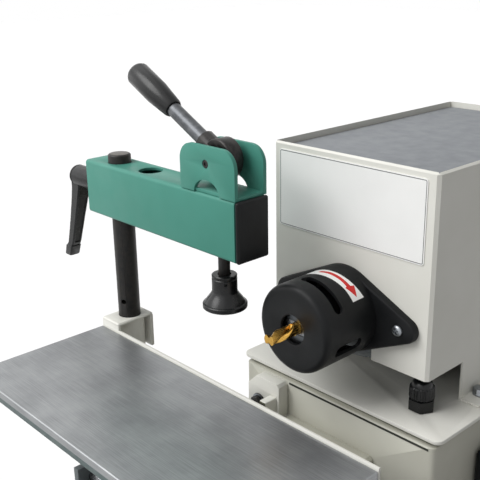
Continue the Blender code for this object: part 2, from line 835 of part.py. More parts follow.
def make_bolts():
    """Hexagon bolts with washers that hold the cover's feet."""
    names = ("right", "left")
    washer_base = BASE_TOP + GAP + COVER_WALL + GAP
    for name, (x, y) in zip(names, bolt_places()):
        head_base = washer_base + WASHER
        bolt = rod(
            "cover_bolt_" + name, (x, y, head_base), (x, y, head_base + BOLT_HEAD),
            BOLT_HEAD_RADIUS, HEX_SIDES)
        washer = rod("washer", (x, y, washer_base), (x, y, head_base + GAP), WASHER_RADIUS, SMALL_SIDES)
        shank = rod(
            "shank", (x, y, head_base + GAP), (x, y, head_base - BOLT_LENGTH), BOLT_RADIUS, SMALL_SIDES)
        join(bolt, washer, shank)
        dress(bolt, "dark_steel")


def fin_outline():
    """The motor body's section: cooling fins round a circle."""
    outline = []
    pitch = FULL_TURN / FIN_COUNT
    for fin in range(FIN_COUNT):
        middle = fin * pitch
        root = pitch * FIN_ROOT_SHARE / HALVES
        tip = pitch * FIN_TIP_SHARE / HALVES
        for radius, angle in (
                (MOTOR_RADIUS, -root), (MOTOR_RADIUS + FIN_HEIGHT, -tip),
                (MOTOR_RADIUS + FIN_HEIGHT, tip), (MOTOR_RADIUS, root)):
            outline.append((radius * math.cos(middle + angle), radius * math.sin(middle + angle)))
    return outline


def make_motor():
    """Finned body on two feet, end bells, bearings, fan cover and terminal box."""
    middle = (BODY_FRONT + BODY_BACK) / HALVES
    place = Matrix.Translation((0, middle, SPINDLE_HEIGHT)) @ FRONT_VIEW
    bore = arc((0, 0), STATOR_BORE, 0, FULL_TURN * (1 - 1 / ROUND_SIDES), ROUND_SIDES - 1)
    body = flat("motor_body", fin_outline(), BODY_BACK - BODY_FRONT, place, [bore])
    foot_top = SPINDLE_HEIGHT - MOTOR_RADIUS + FIN_HEIGHT * 3
    for side in (-1, 1):
        edges = sorted((side * MOTOR_FOOT_INNER, side * MOTOR_FOOT_OUTER))
        foot = box(
            "foot", edges, (MOTOR_FOOT_FRONT, MOTOR_FOOT_BACK),
            (BASE_TOP + GAP, foot_top))
        join(body, foot)
    dress(body, "motor_grey")

    for name, start, end in (
            ("motor_front_bell", BELL_FRONT, BODY_FRONT - GAP),
            ("motor_back_bell", BELL_BACK, BODY_BACK + GAP)):
        inward = 1 if end > start else -1
        length = abs(end - start)
        profile = [
            (SHAFT_RADIUS + SCREW_FIT, 0), (MOTOR_RADIUS - FIN_HEIGHT, 0), (MOTOR_RADIUS, FIN_HEIGHT),
            (MOTOR_RADIUS, length), (BEARING_RADIUS, length), (BEARING_RADIUS, length - BEARING_RECESS),
            (SHAFT_RADIUS + SCREW_FIT, length - BEARING_RECESS)]
        bell = turned(name, profile, (0, start, SPINDLE_HEIGHT), (0, inward, 0), closed=True)
        dress(bell, "motor_grey")

    length = FAN_COVER_BACK - BELL_BACK - GAP
    outer = MOTOR_RADIUS
    inner = outer - FAN_COVER_WALL
    bore = FAN_SLOT_INNER / HALVES
    profile = [
        (inner, 0), (outer, 0), (outer, length - FIN_HEIGHT), (outer - FIN_HEIGHT, length), (bore, length),
        (bore, length - FAN_COVER_WALL),
        (outer - FIN_HEIGHT - FAN_COVER_WALL / HALVES, length - FAN_COVER_WALL),
        (inner, length - FIN_HEIGHT)]
    fan_cover = turned(
        "fan_cover", profile, (0, BELL_BACK + GAP, SPINDLE_HEIGHT), (0, 1, 0), closed=True)
    for index in range(FAN_SLOTS):
        angle = FULL_TURN * index / FAN_SLOTS
        slot = box(
            "fan_slot", (FAN_SLOT_INNER, FAN_SLOT_OUTER), (-length, length),
            (-FAN_SLOT_WIDTH / HALVES, FAN_SLOT_WIDTH / HALVES))
        turn = Matrix.Rotation(angle, 4, "Y")
        slot.matrix_world = Matrix.Translation(
            (0, FAN_COVER_BACK, SPINDLE_HEIGHT)) @ turn @ slot.matrix_world
        cut(fan_cover, slot)
    dress(fan_cover, "motor_grey")

    box_base = SPINDLE_HEIGHT + MOTOR_RADIUS + FIN_HEIGHT + GAP
    terminal = box(
        "terminal_box", (-BOX_HALF_WIDTH, BOX_HALF_WIDTH), (BOX_FRONT, BOX_BACK),
        (box_base, box_base + BOX_HEIGHT), COVER_CORNER)
    dress(terminal, "black_plastic")


def make_lead():
    """Cable gland on the base plate and the short motor lead that it holds."""
    base = BASE_TOP + GAP
    nut_base = base + GLAND_HEIGHT + GAP
    nut_top = nut_base + GLAND_NUT_HEIGHT
    top = nut_top + GLAND_DOME
    body = rod(
        "gland_body", (GLAND_X, GLAND_Y, base), (GLAND_X, GLAND_Y, base + GLAND_HEIGHT), GLAND_RADIUS,
        HEX_SIDES)
    tail = rod(
        "tail", (GLAND_X, GLAND_Y, base - GLAND_TAIL), (GLAND_X, GLAND_Y, base + GAP), GLAND_THREAD,
        SMALL_SIDES)
    join(body, tail)
    bore = rod(
        "bore", (GLAND_X, GLAND_Y, 0), (GLAND_X, GLAND_Y, top), LEAD_RADIUS + GAP, SMALL_SIDES)
    cut(body, bore)
    dress(body, "black_plastic")

    nut = rod(
        "gland_nut", (GLAND_X, GLAND_Y, nut_base), (GLAND_X, GLAND_Y, nut_top), GLAND_NUT_RADIUS, HEX_SIDES)
    dome = rod(
        "dome", (GLAND_X, GLAND_Y, nut_top - GAP), (GLAND_X, GLAND_Y, top),
        GLAND_NUT_RADIUS * math.cos(QUARTER / 3),
        SMALL_SIDES, LEAD_RADIUS * 2 - GAP)
    join(nut, dome)
    nut_bore = rod(
        "bore", (GLAND_X, GLAND_Y, 0), (GLAND_X, GLAND_Y, top + OVERRUN), LEAD_RADIUS + GAP, SMALL_SIDES)
    cut(nut, nut_bore)
    dress(nut, "black_plastic")

    box_middle = SPINDLE_HEIGHT + MOTOR_RADIUS + FIN_HEIGHT + GAP + BOX_HEIGHT / HALVES
    bend_x = GLAND_X - LEAD_BEND
    bend_z = box_middle - LEAD_BEND
    points = [(GLAND_X, GLAND_Y, base - GLAND_TAIL), (GLAND_X, GLAND_Y, top + LEAD_BEND / HALVES)]
    for x, z in arc((bend_x, bend_z), LEAD_BEND, 0, QUARTER, LEAD_STEPS):
        points.append((x, GLAND_Y, z))
    points.append((BOX_HALF_WIDTH + GAP, GLAND_Y, box_middle))
    lead = tube("motor_lead", points, LEAD_RADIUS)
    dress(lead, "dark_rubber")


def flange_outline():
    """A diamond whose sides touch the middle circle and the round lobes at its tips."""
    lean = math.acos((FLANGE_ROUND - FLANGE_LOBE) / FLANGE_REACH)
    outline = arc((FLANGE_REACH, 0), FLANGE_LOBE, -lean, lean, 10)
    outline += arc((0, 0), FLANGE_ROUND, lean, QUARTER * 2 - lean, 10)
    outline += arc((-FLANGE_REACH, 0), FLANGE_LOBE, QUARTER * 2 - lean, QUARTER * 2 + lean, 10)
    outline += arc((0, 0), FLANGE_ROUND, QUARTER * 2 + lean, FULL_TURN - lean, 10)
    return outline


def sector(name, start, end, front, width):
    """A cutter for a slot through the guard's wall, between two angles seen from the front."""
    inner = GUARD_RADIUS - GUARD_WALL * 2
    outer = GUARD_RADIUS + GUARD_WALL
    outline = arc((0, 0), outer, start, end, VENT_STEPS)
    outline += arc((0, 0), inner, end, start, VENT_STEPS)
    place = Matrix.Translation((0, -front + width / HALVES, SPINDLE_HEIGHT)) @ FRONT_VIEW
    return flat(name, outline, width, place)


def make_guard():
    """Moulded guard: a cup with a rounded mouth, two slots through its wall and a diamond flange."""
    inner = GUARD_RADIUS - GUARD_WALL
    axis = (0, -1, 0)
    round_centre = (GUARD_RADIUS - GUARD_EDGE, GUARD_LENGTH - GUARD_EDGE)
    start = FLANGE_THICKNESS / HALVES
    profile = [(0, start), (GUARD_RADIUS, start)]
    profile += arc(round_centre, GUARD_EDGE, 0, QUARTER, 5)
    profile.append((0, GUARD_LENGTH))
    guard = turned("chuck_guard", profile, (0, 0, SPINDLE_HEIGHT), axis, FINE_SIDES)
    place = Matrix.Translation((0, -GAP, SPINDLE_HEIGHT)) @ FRONT_VIEW
    flange = chamfered("flange", flange_outline(), FLANGE_THICKNESS, FLANGE_BEVEL, place)
    join(guard, flange)
    for side in (-1, 1):
        x = side * GUARD_SCREW_REACH
        cut(guard, rod(
            "screw_hole", (x, OVERRUN, SPINDLE_HEIGHT), (x, -FLANGE_THICKNESS - OVERRUN, SPINDLE_HEIGHT),
            GUARD_SCREW_RADIUS + SCREW_FIT, SMALL_SIDES))
    front = GUARD_LENGTH - GUARD_WALL
    cavity = [
        (0, -OVERRUN), (inner, -OVERRUN), (inner, front - GUARD_WALL), (inner - GUARD_WALL, front),
        (GUARD_MOUTH, front), (GUARD_MOUTH, GUARD_LENGTH - GUARD_MOUTH_BEVEL),
        (GUARD_MOUTH + GUARD_MOUTH_BEVEL + OVERRUN, GUARD_LENGTH + OVERRUN), (0, GUARD_LENGTH + OVERRUN)]
    cut(guard, turned("cavity", cavity, (0, 0, SPINDLE_HEIGHT), axis, FINE_SIDES))
    cut(guard, sector("vent", VENT_START, VENT_END, VENT_FRONT, VENT_WIDTH))
    cut(guard, sector("side_vent", SIDE_VENT_START, SIDE_VENT_END, SIDE_VENT_FRONT, SIDE_VENT_WIDTH))
    dress(guard, "black_plastic")

    for name, side in (("guard_screw_left", -1), ("guard_screw_right", 1)):
        x = side * GUARD_SCREW_REACH
        seat = FLANGE_THICKNESS + GAP * 2
        profile = [
            (0, -seat - GUARD_SCREW_TAIL), (GUARD_SCREW_RADIUS, -seat - GUARD_SCREW_TAIL),
            (GUARD_SCREW_RADIUS, 0), (GUARD_SCREW_HEAD, 0),
            (GUARD_SCREW_HEAD, GUARD_SCREW_RISE / HALVES), (GUARD_SCREW_HEAD / HALVES, GUARD_SCREW_RISE),
            (0, GUARD_SCREW_RISE)]
        screw = turned(name, profile, (x, -seat, SPINDLE_HEIGHT), (0, -1, 0), SMALL_SIDES)
        dress(screw, "dark_steel")


def make_spindle(carrier, left_jaw, right_jaw):
    """Shaft with rotor and fan, chuck with two sliding jaws, and the bit."""
    axis = (0, -1, 0)
    profile = [
        (0, -SHAFT_BACK), (SHAFT_RADIUS, -SHAFT_BACK), (SHAFT_RADIUS, -ROTOR_BACK),
        (ROTOR_RADIUS, -ROTOR_BACK),
        (ROTOR_RADIUS, -ROTOR_FRONT), (SHAFT_RADIUS, -ROTOR_FRONT), (SHAFT_RADIUS, -SHAFT_FRONT),
        (0, -SHAFT_FRONT)]
    shaft = turned("spindle_shaft", profile, (0, 0, SPINDLE_HEIGHT), axis, SMALL_SIDES)
    dress(shaft, "ground_steel", carrier)

    fan = sleeve(
        "motor_fan", (0, FAN_FRONT, SPINDLE_HEIGHT), (0, FAN_BACK, SPINDLE_HEIGHT), FAN_HUB,
        SHAFT_RADIUS + GAP)
    for index in range(FAN_BLADES):
        blade = box(
            "blade", (FAN_HUB - FAN_BLADE, FAN_RADIUS), (FAN_FRONT, FAN_BACK - FAN_BLADE),
            (-FAN_BLADE / HALVES, FAN_BLADE / HALVES))
        turn = Matrix.Rotation(FULL_TURN * index / FAN_BLADES, 4, "Y")
        blade.matrix_world = Matrix.Translation((0, 0, SPINDLE_HEIGHT)) @ turn @ blade.matrix_world
        join(fan, blade)
    dress(fan, "black_plastic", carrier)

    length = CHUCK_BACK - CHUCK_FRONT
    bore = SHAFT_RADIUS + GAP
    shaft_seat = CHUCK_BACK - SHAFT_FRONT
    profile = [
        (0, shaft_seat + GAP), (bore, shaft_seat + GAP), (bore, 0), (CHUCK_RADIUS - CASTING_CORNER, 0),
        (CHUCK_RADIUS, CASTING_CORNER), (CHUCK_RADIUS, length - CHUCK_NOSE), (CHUCK_NOSE_RADIUS, length),
        (0, length)]
    chuck = turned("chuck_body", profile, (0, CHUCK_BACK, SPINDLE_HEIGHT), axis)
    slot_back = CHUCK_FRONT + JAW_DEPTH + GAP
    half = JAW_WIDTH / HALVES
    slot = box(
        "jaw_slot", (-CHUCK_RADIUS * 2, CHUCK_RADIUS * 2), (CHUCK_FRONT - OVERRUN, slot_back),
        (SPINDLE_HEIGHT - half - GAP, SPINDLE_HEIGHT + half + GAP))
    shank_hole = rod(
        "shank_hole", (0, CHUCK_FRONT - OVERRUN, SPINDLE_HEIGHT),
        (0, CHUCK_FRONT + BIT_SHANK + GAP, SPINDLE_HEIGHT),
        BIT_RADIUS + GAP, SMALL_SIDES)
    cut(chuck, slot, shank_hole)
    dress(chuck, "dark_steel", carrier)

    for name, side, jaw_carrier in (("jaw_left", -1, left_jaw), ("jaw_right", 1, right_jaw)):
        edges = sorted((side * GAP * 2, side * (BIT_RADIUS + JAW_REACH)))
        jaw = box(
            name, edges, (CHUCK_FRONT + GAP, CHUCK_FRONT + JAW_DEPTH),
            (SPINDLE_HEIGHT - half, SPINDLE_HEIGHT + half))
        seat = rod(
            "seat", (0, CHUCK_FRONT - OVERRUN, SPINDLE_HEIGHT),
            (0, CHUCK_FRONT + JAW_DEPTH + OVERRUN, SPINDLE_HEIGHT),
            BIT_RADIUS + GAP, SMALL_SIDES)
        cut(jaw, seat)
        dress(jaw, "ground_steel", jaw_carrier)
    dress(make_bit(), "gold_coating", carrier)


def make_bit():
    """A two-flute bit: its section turns about the axis as it is drawn out along it."""
    core = BIT_RADIUS * BIT_CORE_SHARE
    land = FULL_TURN / 8
    outline = []
    for side in range(HALVES):
        start = side * QUARTER * 2
        outline += arc((0, 0), BIT_RADIUS, start - land / HALVES, start + land, BIT_ARC_POINTS)
        outline.append((core * math.cos(start + QUARTER), core * math.sin(start + QUARTER)))
    shape = bmesh.new()
    corners = [shape.verts.new((x, 0, z)) for x, z in outline]
    face = shape.faces.new(corners)
    geometry = [face, *face.edges, *face.verts]
    bmesh.ops.spin(
        shape, geom=geometry, cent=(0, 0, 0), axis=(0, -1, 0),
        dvec=(0, -BIT_FLUTE / BIT_TWIST_STEPS, 0), angle=BIT_TWIST, steps=BIT_TWIST_STEPS)
    bmesh.ops.recalc_face_normals(shape, faces=shape.faces)
    place = Matrix.Translation((0, BIT_TIP + BIT_FLUTE, SPINDLE_HEIGHT))
    bit = add_object("mortise_bit", mesh_from(shape, "mortise_bit"), place)
    shank = rod(
        "shank", (0, CHUCK_FRONT + BIT_SHANK, SPINDLE_HEIGHT),
        (0, BIT_TIP + BIT_FLUTE - GAP, SPINDLE_HEIGHT),
        BIT_RADIUS, SMALL_SIDES)
    join(bit, shank)
    return bit


def make_front():
    """Guide hood, its nut and the stop bar on the front of the housing."""
    back = BASE_FRONT - GAP
    top = HOOD_TOP
    bottom = HOOD_TOP - HOOD_HEIGHT
    outline = [
        (HOOD_LEFT, bottom), (HOOD_RIGHT, bottom), (HOOD_RIGHT, top - CASTING_CORNER),
        (HOOD_RIGHT - CASTING_CORNER, top), (HOOD_LEFT + HOOD_CHAMFER, top),
        (HOOD_LEFT, top - HOOD_CHAMFER)]
    place = Matrix.Translation((0, (back + HOOD_FRONT) / HALVES, 0)) @ FRONT_VIEW
    hood = flat("guide_hood", outline, back - HOOD_FRONT, place)
    slot = box(
        "bar_slot", (BAR_LEFT - GAP, BAR_RIGHT + GAP), (HOOD_FRONT - OVERRUN, OVERRUN),
        (BAR_TOP - BAR_HEIGHT - GAP, BAR_TOP + GAP))
    stud_hole = rod(
        "stud_hole", (HOOD_NUT_X, HOOD_FRONT - OVERRUN, HOOD_NUT_Z), (HOOD_NUT_X, OVERRUN, HOOD_NUT_Z),
        BOLT_RADIUS + SCREW_FIT, SMALL_SIDES)
    cut(hood, slot, stud_hole)
    dress(hood, "beige_paint")

    bar = box(
        "stop_bar", (BAR_LEFT, BAR_RIGHT), (BAR_FRONT, back), (BAR_TOP - BAR_HEIGHT, BAR_TOP), BAR_EDGE)
    dress(bar, "beige_paint")

    washer_front = HOOD_FRONT - GAP - WASHER
    nut = rod(
        "hood_nut", (HOOD_NUT_X, washer_front - HOOD_NUT_LENGTH, HOOD_NUT_Z),
        (HOOD_NUT_X, washer_front, HOOD_NUT_Z),
        HOOD_NUT_RADIUS, HEX_SIDES)
    washer = rod(
        "washer", (HOOD_NUT_X, washer_front - GAP, HOOD_NUT_Z), (HOOD_NUT_X, HOOD_FRONT - GAP, HOOD_NUT_Z),
        HOOD_WASHER_RADIUS, SMALL_SIDES)
    stud = rod(
        "stud", (HOOD_NUT_X, washer_front - HOOD_NUT_LENGTH - OVERRUN, HOOD_NUT_Z),
        (HOOD_NUT_X, back, HOOD_NUT_Z),
        BOLT_RADIUS, SMALL_SIDES)
    join(nut, washer, stud)
    dress(nut, "black_steel")


def make_switch(start_carrier, stop_carrier):
    """Switch box with a flush start button and a broad stop button, on the housing's right side."""
    wall = BASE_HALF_WIDTH - HOUSING_INSET + GAP
    front = SWITCH_FRONT
    back = front + SWITCH_LENGTH
    base = SWITCH_BASE
    switch = box(
        "switch_box", (wall, wall + SWITCH_DEPTH), (front, back), (base, base + SWITCH_HEIGHT),
        SWITCH_CORNER)
    hollow = box(
        "hollow", (wall - SWITCH_WALL, wall + SWITCH_DEPTH - SWITCH_WALL),
        (front + SWITCH_WALL, back - SWITCH_WALL),
        (base + SWITCH_WALL, base + SWITCH_HEIGHT - SWITCH_WALL))
    cut(switch, hollow)
    middle = (front + back) / HALVES
    face = wall + SWITCH_DEPTH
    stem_start = face - SWITCH_WALL - BUTTON_TRAVEL * 2
    buttons = (
        ("start_button", base + SWITCH_HEIGHT * 3 / 4, "start_green", start_carrier),
        ("stop_button", base + SWITCH_HEIGHT / 4 + STOP_CAP, "stop_red", stop_carrier))
    for name, height, coat, carrier in buttons:
        cut(switch, rod(
            "button_hole", (face - SWITCH_WALL * 2, middle, height), (face + OVERRUN, middle, height),
            BUTTON_RADIUS + SLIDE_FIT, SMALL_SIDES))
        button = rod(
            name, (stem_start, middle, height), (face + BUTTON_RISE, middle, height), BUTTON_RADIUS,
            SMALL_SIDES)
        if name == "stop_button":
            cap_start = face + BUTTON_RISE - GAP
            cap = rod(
                "cap", (cap_start, middle, height), (cap_start + STOP_CAP, middle, height), STOP_FLARE,
                SMALL_SIDES)
            join(button, cap)
        dress(button, coat, carrier)
    dress(switch, "black_plastic")


def bar_places():
    """X and radius of the two columns and of the lift screw between them."""
    return [(-COLUMN_X, COLUMN_RADIUS), (COLUMN_X, COLUMN_RADIUS), (0, SCREW_RADIUS)]


def make_columns():
    """Two columns and the fixed lift screw, from the floor's sockets up through the head."""
    names = ("column_left", "column_right", "lift_screw")
    for name, (x, radius) in zip(names, bar_places()):
        bar = rod(
            name, (x, COLUMN_Y, FLOOR_PLATE + GAP), (x, COLUMN_Y, HEAD_BASE + HEAD_HEIGHT), radius)
        dress(bar, "ground_steel")


def make_knee(carrier, nut_carrier, wheel_carrier):
    """Knee casting on the columns, its rods and end plate, the turning nut and the front handwheel."""
    top = KNEE_BASE + KNEE_HEIGHT
    sides = (-KNEE_HALF_WIDTH, KNEE_HALF_WIDTH)
    knee = box("knee", sides, (KNEE_FRONT, KNEE_BACK), (KNEE_BASE, top), CASTING_CORNER)
    plate = box(
        "end_plate", sides, (END_PLATE_FRONT, END_PLATE_FRONT + END_PLATE), (KNEE_BASE, top),
        CASTING_CORNER)
    join(knee, plate)
    for side in (-1, 1):
        edges = sorted((side * (KNEE_HALF_WIDTH - GAP), side * (KNEE_HALF_WIDTH - RAIL_WIDTH)))
        rail = box(
            "rail", edges, (END_PLATE_FRONT + END_PLATE / HALVES, KNEE_FRONT + END_PLATE),
            (KNEE_BASE + GAP, KNEE_BASE + RAIL_HEIGHT))
        join(knee, rail)
    for x, radius in (
            (-COLUMN_X, COLUMN_RADIUS + SLIDE_FIT), (COLUMN_X, COLUMN_RADIUS + SLIDE_FIT),
            (0, NUT_RADIUS + SLIDE_FIT)):
        cut(knee, rod(
            "column_bore", (x, COLUMN_Y, KNEE_BASE - OVERRUN), (x, COLUMN_Y, top + OVERRUN), radius))
    rod_z = KNEE_BASE + DEPTH_ROD_RISE
    seat = KNEE_FRONT + END_PLATE
    for name, side in (("depth_rod_left", -1), ("depth_rod_right", 1)):
        x = side * DEPTH_ROD_X
        bar = rod(name, (x, END_PLATE_FRONT, rod_z), (x, seat, rod_z), DEPTH_ROD_RADIUS)
        dress(bar, "ground_steel", carrier)
        cut(knee, rod(
            "rod_bore", (x, END_PLATE_FRONT - OVERRUN, rod_z), (x, seat + GAP, rod_z),
            DEPTH_ROD_RADIUS + GAP))
    stud = turned(
        "stud", stud_profile(), (DEPTH_PIVOT_X, depth_pivot_y(), KNEE_BASE), (0, 0, -1), SMALL_SIDES)
    join(knee, stud)
    drive_z = KNEE_BASE + DRIVE_RISE
    drive_end = COLUMN_Y - NUT_RADIUS - OVERRUN
    cut(knee, rod(
        "drive_bore", (0, END_PLATE_FRONT - OVERRUN, drive_z), (0, drive_end + GAP, drive_z),
        DRIVE_RADIUS + SLIDE_FIT, SMALL_SIDES))
    dress(knee, "grey_casting", carrier)

    nut_base = KNEE_BASE - NUT_FLANGE_HEIGHT - GAP
    bore = SCREW_RADIUS + SLIDE_FIT
    profile = [
        (bore, 0), (NUT_FLANGE, 0), (NUT_FLANGE, NUT_FLANGE_HEIGHT), (NUT_RADIUS, NUT_FLANGE_HEIGHT),
        (NUT_RADIUS, top - nut_base), (bore, top - nut_base)]
    nut = turned("lift_nut", profile, (0, COLUMN_Y, nut_base), (0, 0, 1), closed=True)
    dress(nut, "dark_steel", nut_carrier)

    shaft = rod(
        "drive_shaft", (0, END_PLATE_FRONT - WHEEL_HUB_LENGTH, drive_z), (0, drive_end, drive_z),
        DRIVE_RADIUS, SMALL_SIDES)
    wheel = make_handwheel(drive_z)
    knob_y = END_PLATE_FRONT - WHEEL_HUB_LENGTH / HALVES
    knob = turned(
        "knob",
        [(0, 0), (WHEEL_RIM / HALVES, 0), (WHEEL_RIM / HALVES, WHEEL_RIM * 2), (WHEEL_KNOB, WHEEL_RIM * 2),
         (WHEEL_KNOB, WHEEL_KNOB_LENGTH - OVERRUN), (WHEEL_KNOB - OVERRUN, WHEEL_KNOB_LENGTH),
         (0, WHEEL_KNOB_LENGTH)],
        (0, knob_y, drive_z + WHEEL_RADIUS - WHEEL_RIM), (0, -1, 0), SMALL_SIDES)
    join(wheel, shaft, knob)
    dress(wheel, "black_plastic", wheel_carrier)


def make_handwheel(height):
    """A rim, a hub and spokes in one moulding."""
    front = END_PLATE_FRONT - WHEEL_HUB_LENGTH - GAP
    middle = (front + END_PLATE_FRONT) / HALVES
    wheel = rod(
        "lift_handwheel", (0, front, height), (0, END_PLATE_FRONT - GAP, height), WHEEL_HUB, SMALL_SIDES)
    shape_centre = WHEEL_RADIUS - WHEEL_RIM
    ring = arc((shape_centre, 0), WHEEL_RIM, -QUARTER, QUARTER * 3 - FULL_TURN / 8, 7)
    rim = turned("rim", ring, (0, middle, height), (0, -1, 0), ROUND_SIDES, closed=True)
    join(wheel, rim)
    for index in range(WHEEL_SPOKES):
        angle = FULL_TURN * index / WHEEL_SPOKES + QUARTER
        inner = WHEEL_HUB - WHEEL_RIM / HALVES
        start = (inner * math.cos(angle), middle, height + inner * math.sin(angle))
        end = (shape_centre * math.cos(angle), middle, height + shape_centre * math.sin(angle))
        join(wheel, rod("spoke", start, end, WHEEL_SPOKE, HEX_SIDES * 2))
    return wheel


def make_carriage(carrier):
    """Depth carriage on the knee's rods, with brackets that hold the travel rods."""
    edge = (CARRIAGE_LEFT, CARRIAGE_RIGHT)
    carriage = box(
        "depth_carriage", edge, (CARRIAGE_FRONT, CARRIAGE_BACK), (CARRIAGE_BASE, CARRIAGE_TOP),
        CASTING_CORNER)
    rod_z = KNEE_BASE + DEPTH_ROD_RISE
    for side in (-1, 1):
        x = side * DEPTH_ROD_X
        bearing = box(
            "bearing", (x - BEARING_HALF_WIDTH, x + BEARING_HALF_WIDTH),
            (CARRIAGE_FRONT + CASTING_CORNER, CARRIAGE_BACK - CASTING_CORNER),
            (CARRIAGE_BASE - BEARING_DROP, CARRIAGE_BASE + CARRIAGE_PLATE / HALVES),
            CASTING_CORNER / HALVES)
        join(carriage, bearing)
    bracket_top = CARRIAGE_TOP + BRACKET_HEIGHT
    brackets = (CARRIAGE_LEFT, CARRIAGE_RIGHT - BRACKET_WALL)
    for x in brackets:
        bracket = box(
            "bracket", (x + GAP, x + BRACKET_WALL - GAP), (SADDLE_FRONT, SADDLE_BACK),
            (CARRIAGE_TOP - CARRIAGE_PLATE / HALVES, bracket_top))
        join(carriage, bracket)
    for side in (-1, 1):
        x = side * DEPTH_ROD_X
        cut(carriage, rod(
            "rod_bore", (x, CARRIAGE_FRONT - OVERRUN, rod_z), (x, CARRIAGE_BACK + OVERRUN, rod_z),
            DEPTH_ROD_RADIUS + SLIDE_FIT))
    travel_z = CARRIAGE_TOP + TRAVEL_ROD_RISE
    for name, y in (("travel_rod_front", TRAVEL_ROD_FRONT), ("travel_rod_back", TRAVEL_ROD_BACK)):
        bar = rod(name, (CARRIAGE_LEFT, y, travel_z), (CARRIAGE_RIGHT, y, travel_z), TRAVEL_ROD_RADIUS)
        dress(bar, "ground_steel", carrier)
        cut(carriage, rod(
            "rod_bore", (CARRIAGE_LEFT - OVERRUN, y, travel_z), (CARRIAGE_RIGHT + OVERRUN, y, travel_z),
            TRAVEL_ROD_RADIUS + GAP))
    stud_x = travel_pivot_x()
    stud = turned("stud", stud_profile(), (stud_x, TRAVEL_PIVOT_Y, CARRIAGE_TOP), (0, 0, 1), SMALL_SIDES)
    pin_x = depth_pin_x()
    pin = rod(
        "pin", (pin_x, DEPTH_PIN_REST_Y, depth_lever_base() - OVERRUN),
        (pin_x, DEPTH_PIN_REST_Y, CARRIAGE_TOP - OVERRUN), DRIVE_PIN_RADIUS, SMALL_SIDES)
    join(carriage, stud, pin)
    dress(carriage, "grey_casting", carrier)


def stud_profile():
    """A lever's pivot stud: tail sunk in the casting, shoulder, journal through the lever and a cap."""
    cap_base = LEVER_LIFT + LEVER_THICKNESS + GAP
    return [
        (0, -STUD_RADIUS), (STUD_RADIUS, -STUD_RADIUS), (STUD_CAP, 0), (STUD_CAP, LEVER_LIFT - GAP),
        (STUD_RADIUS, LEVER_LIFT - GAP), (STUD_RADIUS, cap_base), (STUD_CAP, cap_base),
        (STUD_CAP, cap_base + STUD_CAP_HEIGHT), (0, cap_base + STUD_CAP_HEIGHT)]


def travel_pivot_x():
    """The travel lever points straight ahead when the table is half way along."""
    return TRAVEL_PIN_REST_X + (TRAVEL_LOW + TRAVEL_HIGH) / HALVES


def depth_pivot_y():
    return DEPTH_PIN_REST_Y + (DEPTH_LOW + DEPTH_HIGH) / HALVES


def depth_pin_x():
    return DEPTH_PIVOT_X + LEVER_REACH


def depth_lever_base():
    return KNEE_BASE - LEVER_LIFT - LEVER_THICKNESS


def make_lever(name, point, direction, carrier):
    """A flat lever with a slot for its drive pin, a round handle and a ball knob."""
    half = LEVER_WIDTH / HALVES
    radius = LEVER_SLOT_END
    outline = arc((0, 0), half, QUARTER, QUARTER * 3, 10)
    outline += [(LEVER_BAR - half, -half), (LEVER_BAR, -LEVER_ROD * 2), (LEVER_BAR, LEVER_ROD * 2)]
    outline.append((LEVER_BAR - half, half))
    slot_half = DRIVE_PIN_RADIUS + LEVER_SLOT_PLAY
    slot_start = LEVER_REACH - OVERRUN
    slot_end = LEVER_REACH + radius
    slot = arc((slot_start, 0), slot_half, QUARTER, QUARTER * 3, 8)
    slot += arc((slot_end, 0), slot_half, -QUARTER, QUARTER, 8)
    hole = arc((0, 0), STUD_RADIUS + SLIDE_FIT, 0, FULL_TURN * (1 - 1 / SMALL_SIDES), SMALL_SIDES - 1)
    turn = Matrix.Rotation(direction, 4, "Z")
    middle = Matrix.Translation((point[0], point[1], point[2] + LEVER_THICKNESS / HALVES)) @ turn
    lever = flat(name, outline, LEVER_THICKNESS, middle, [hole, slot])
    handle = rod(
        "handle", middle @ Vector((LEVER_BAR - half, 0, 0)), middle @ Vector((LEVER_LENGTH, 0, 0)),
        LEVER_ROD, SMALL_SIDES)
    knob = ball("knob", middle @ Vector((LEVER_LENGTH, 0, 0)), LEVER_KNOB)
    join(lever, handle, knob)
    dress(lever, "dark_steel", carrier)


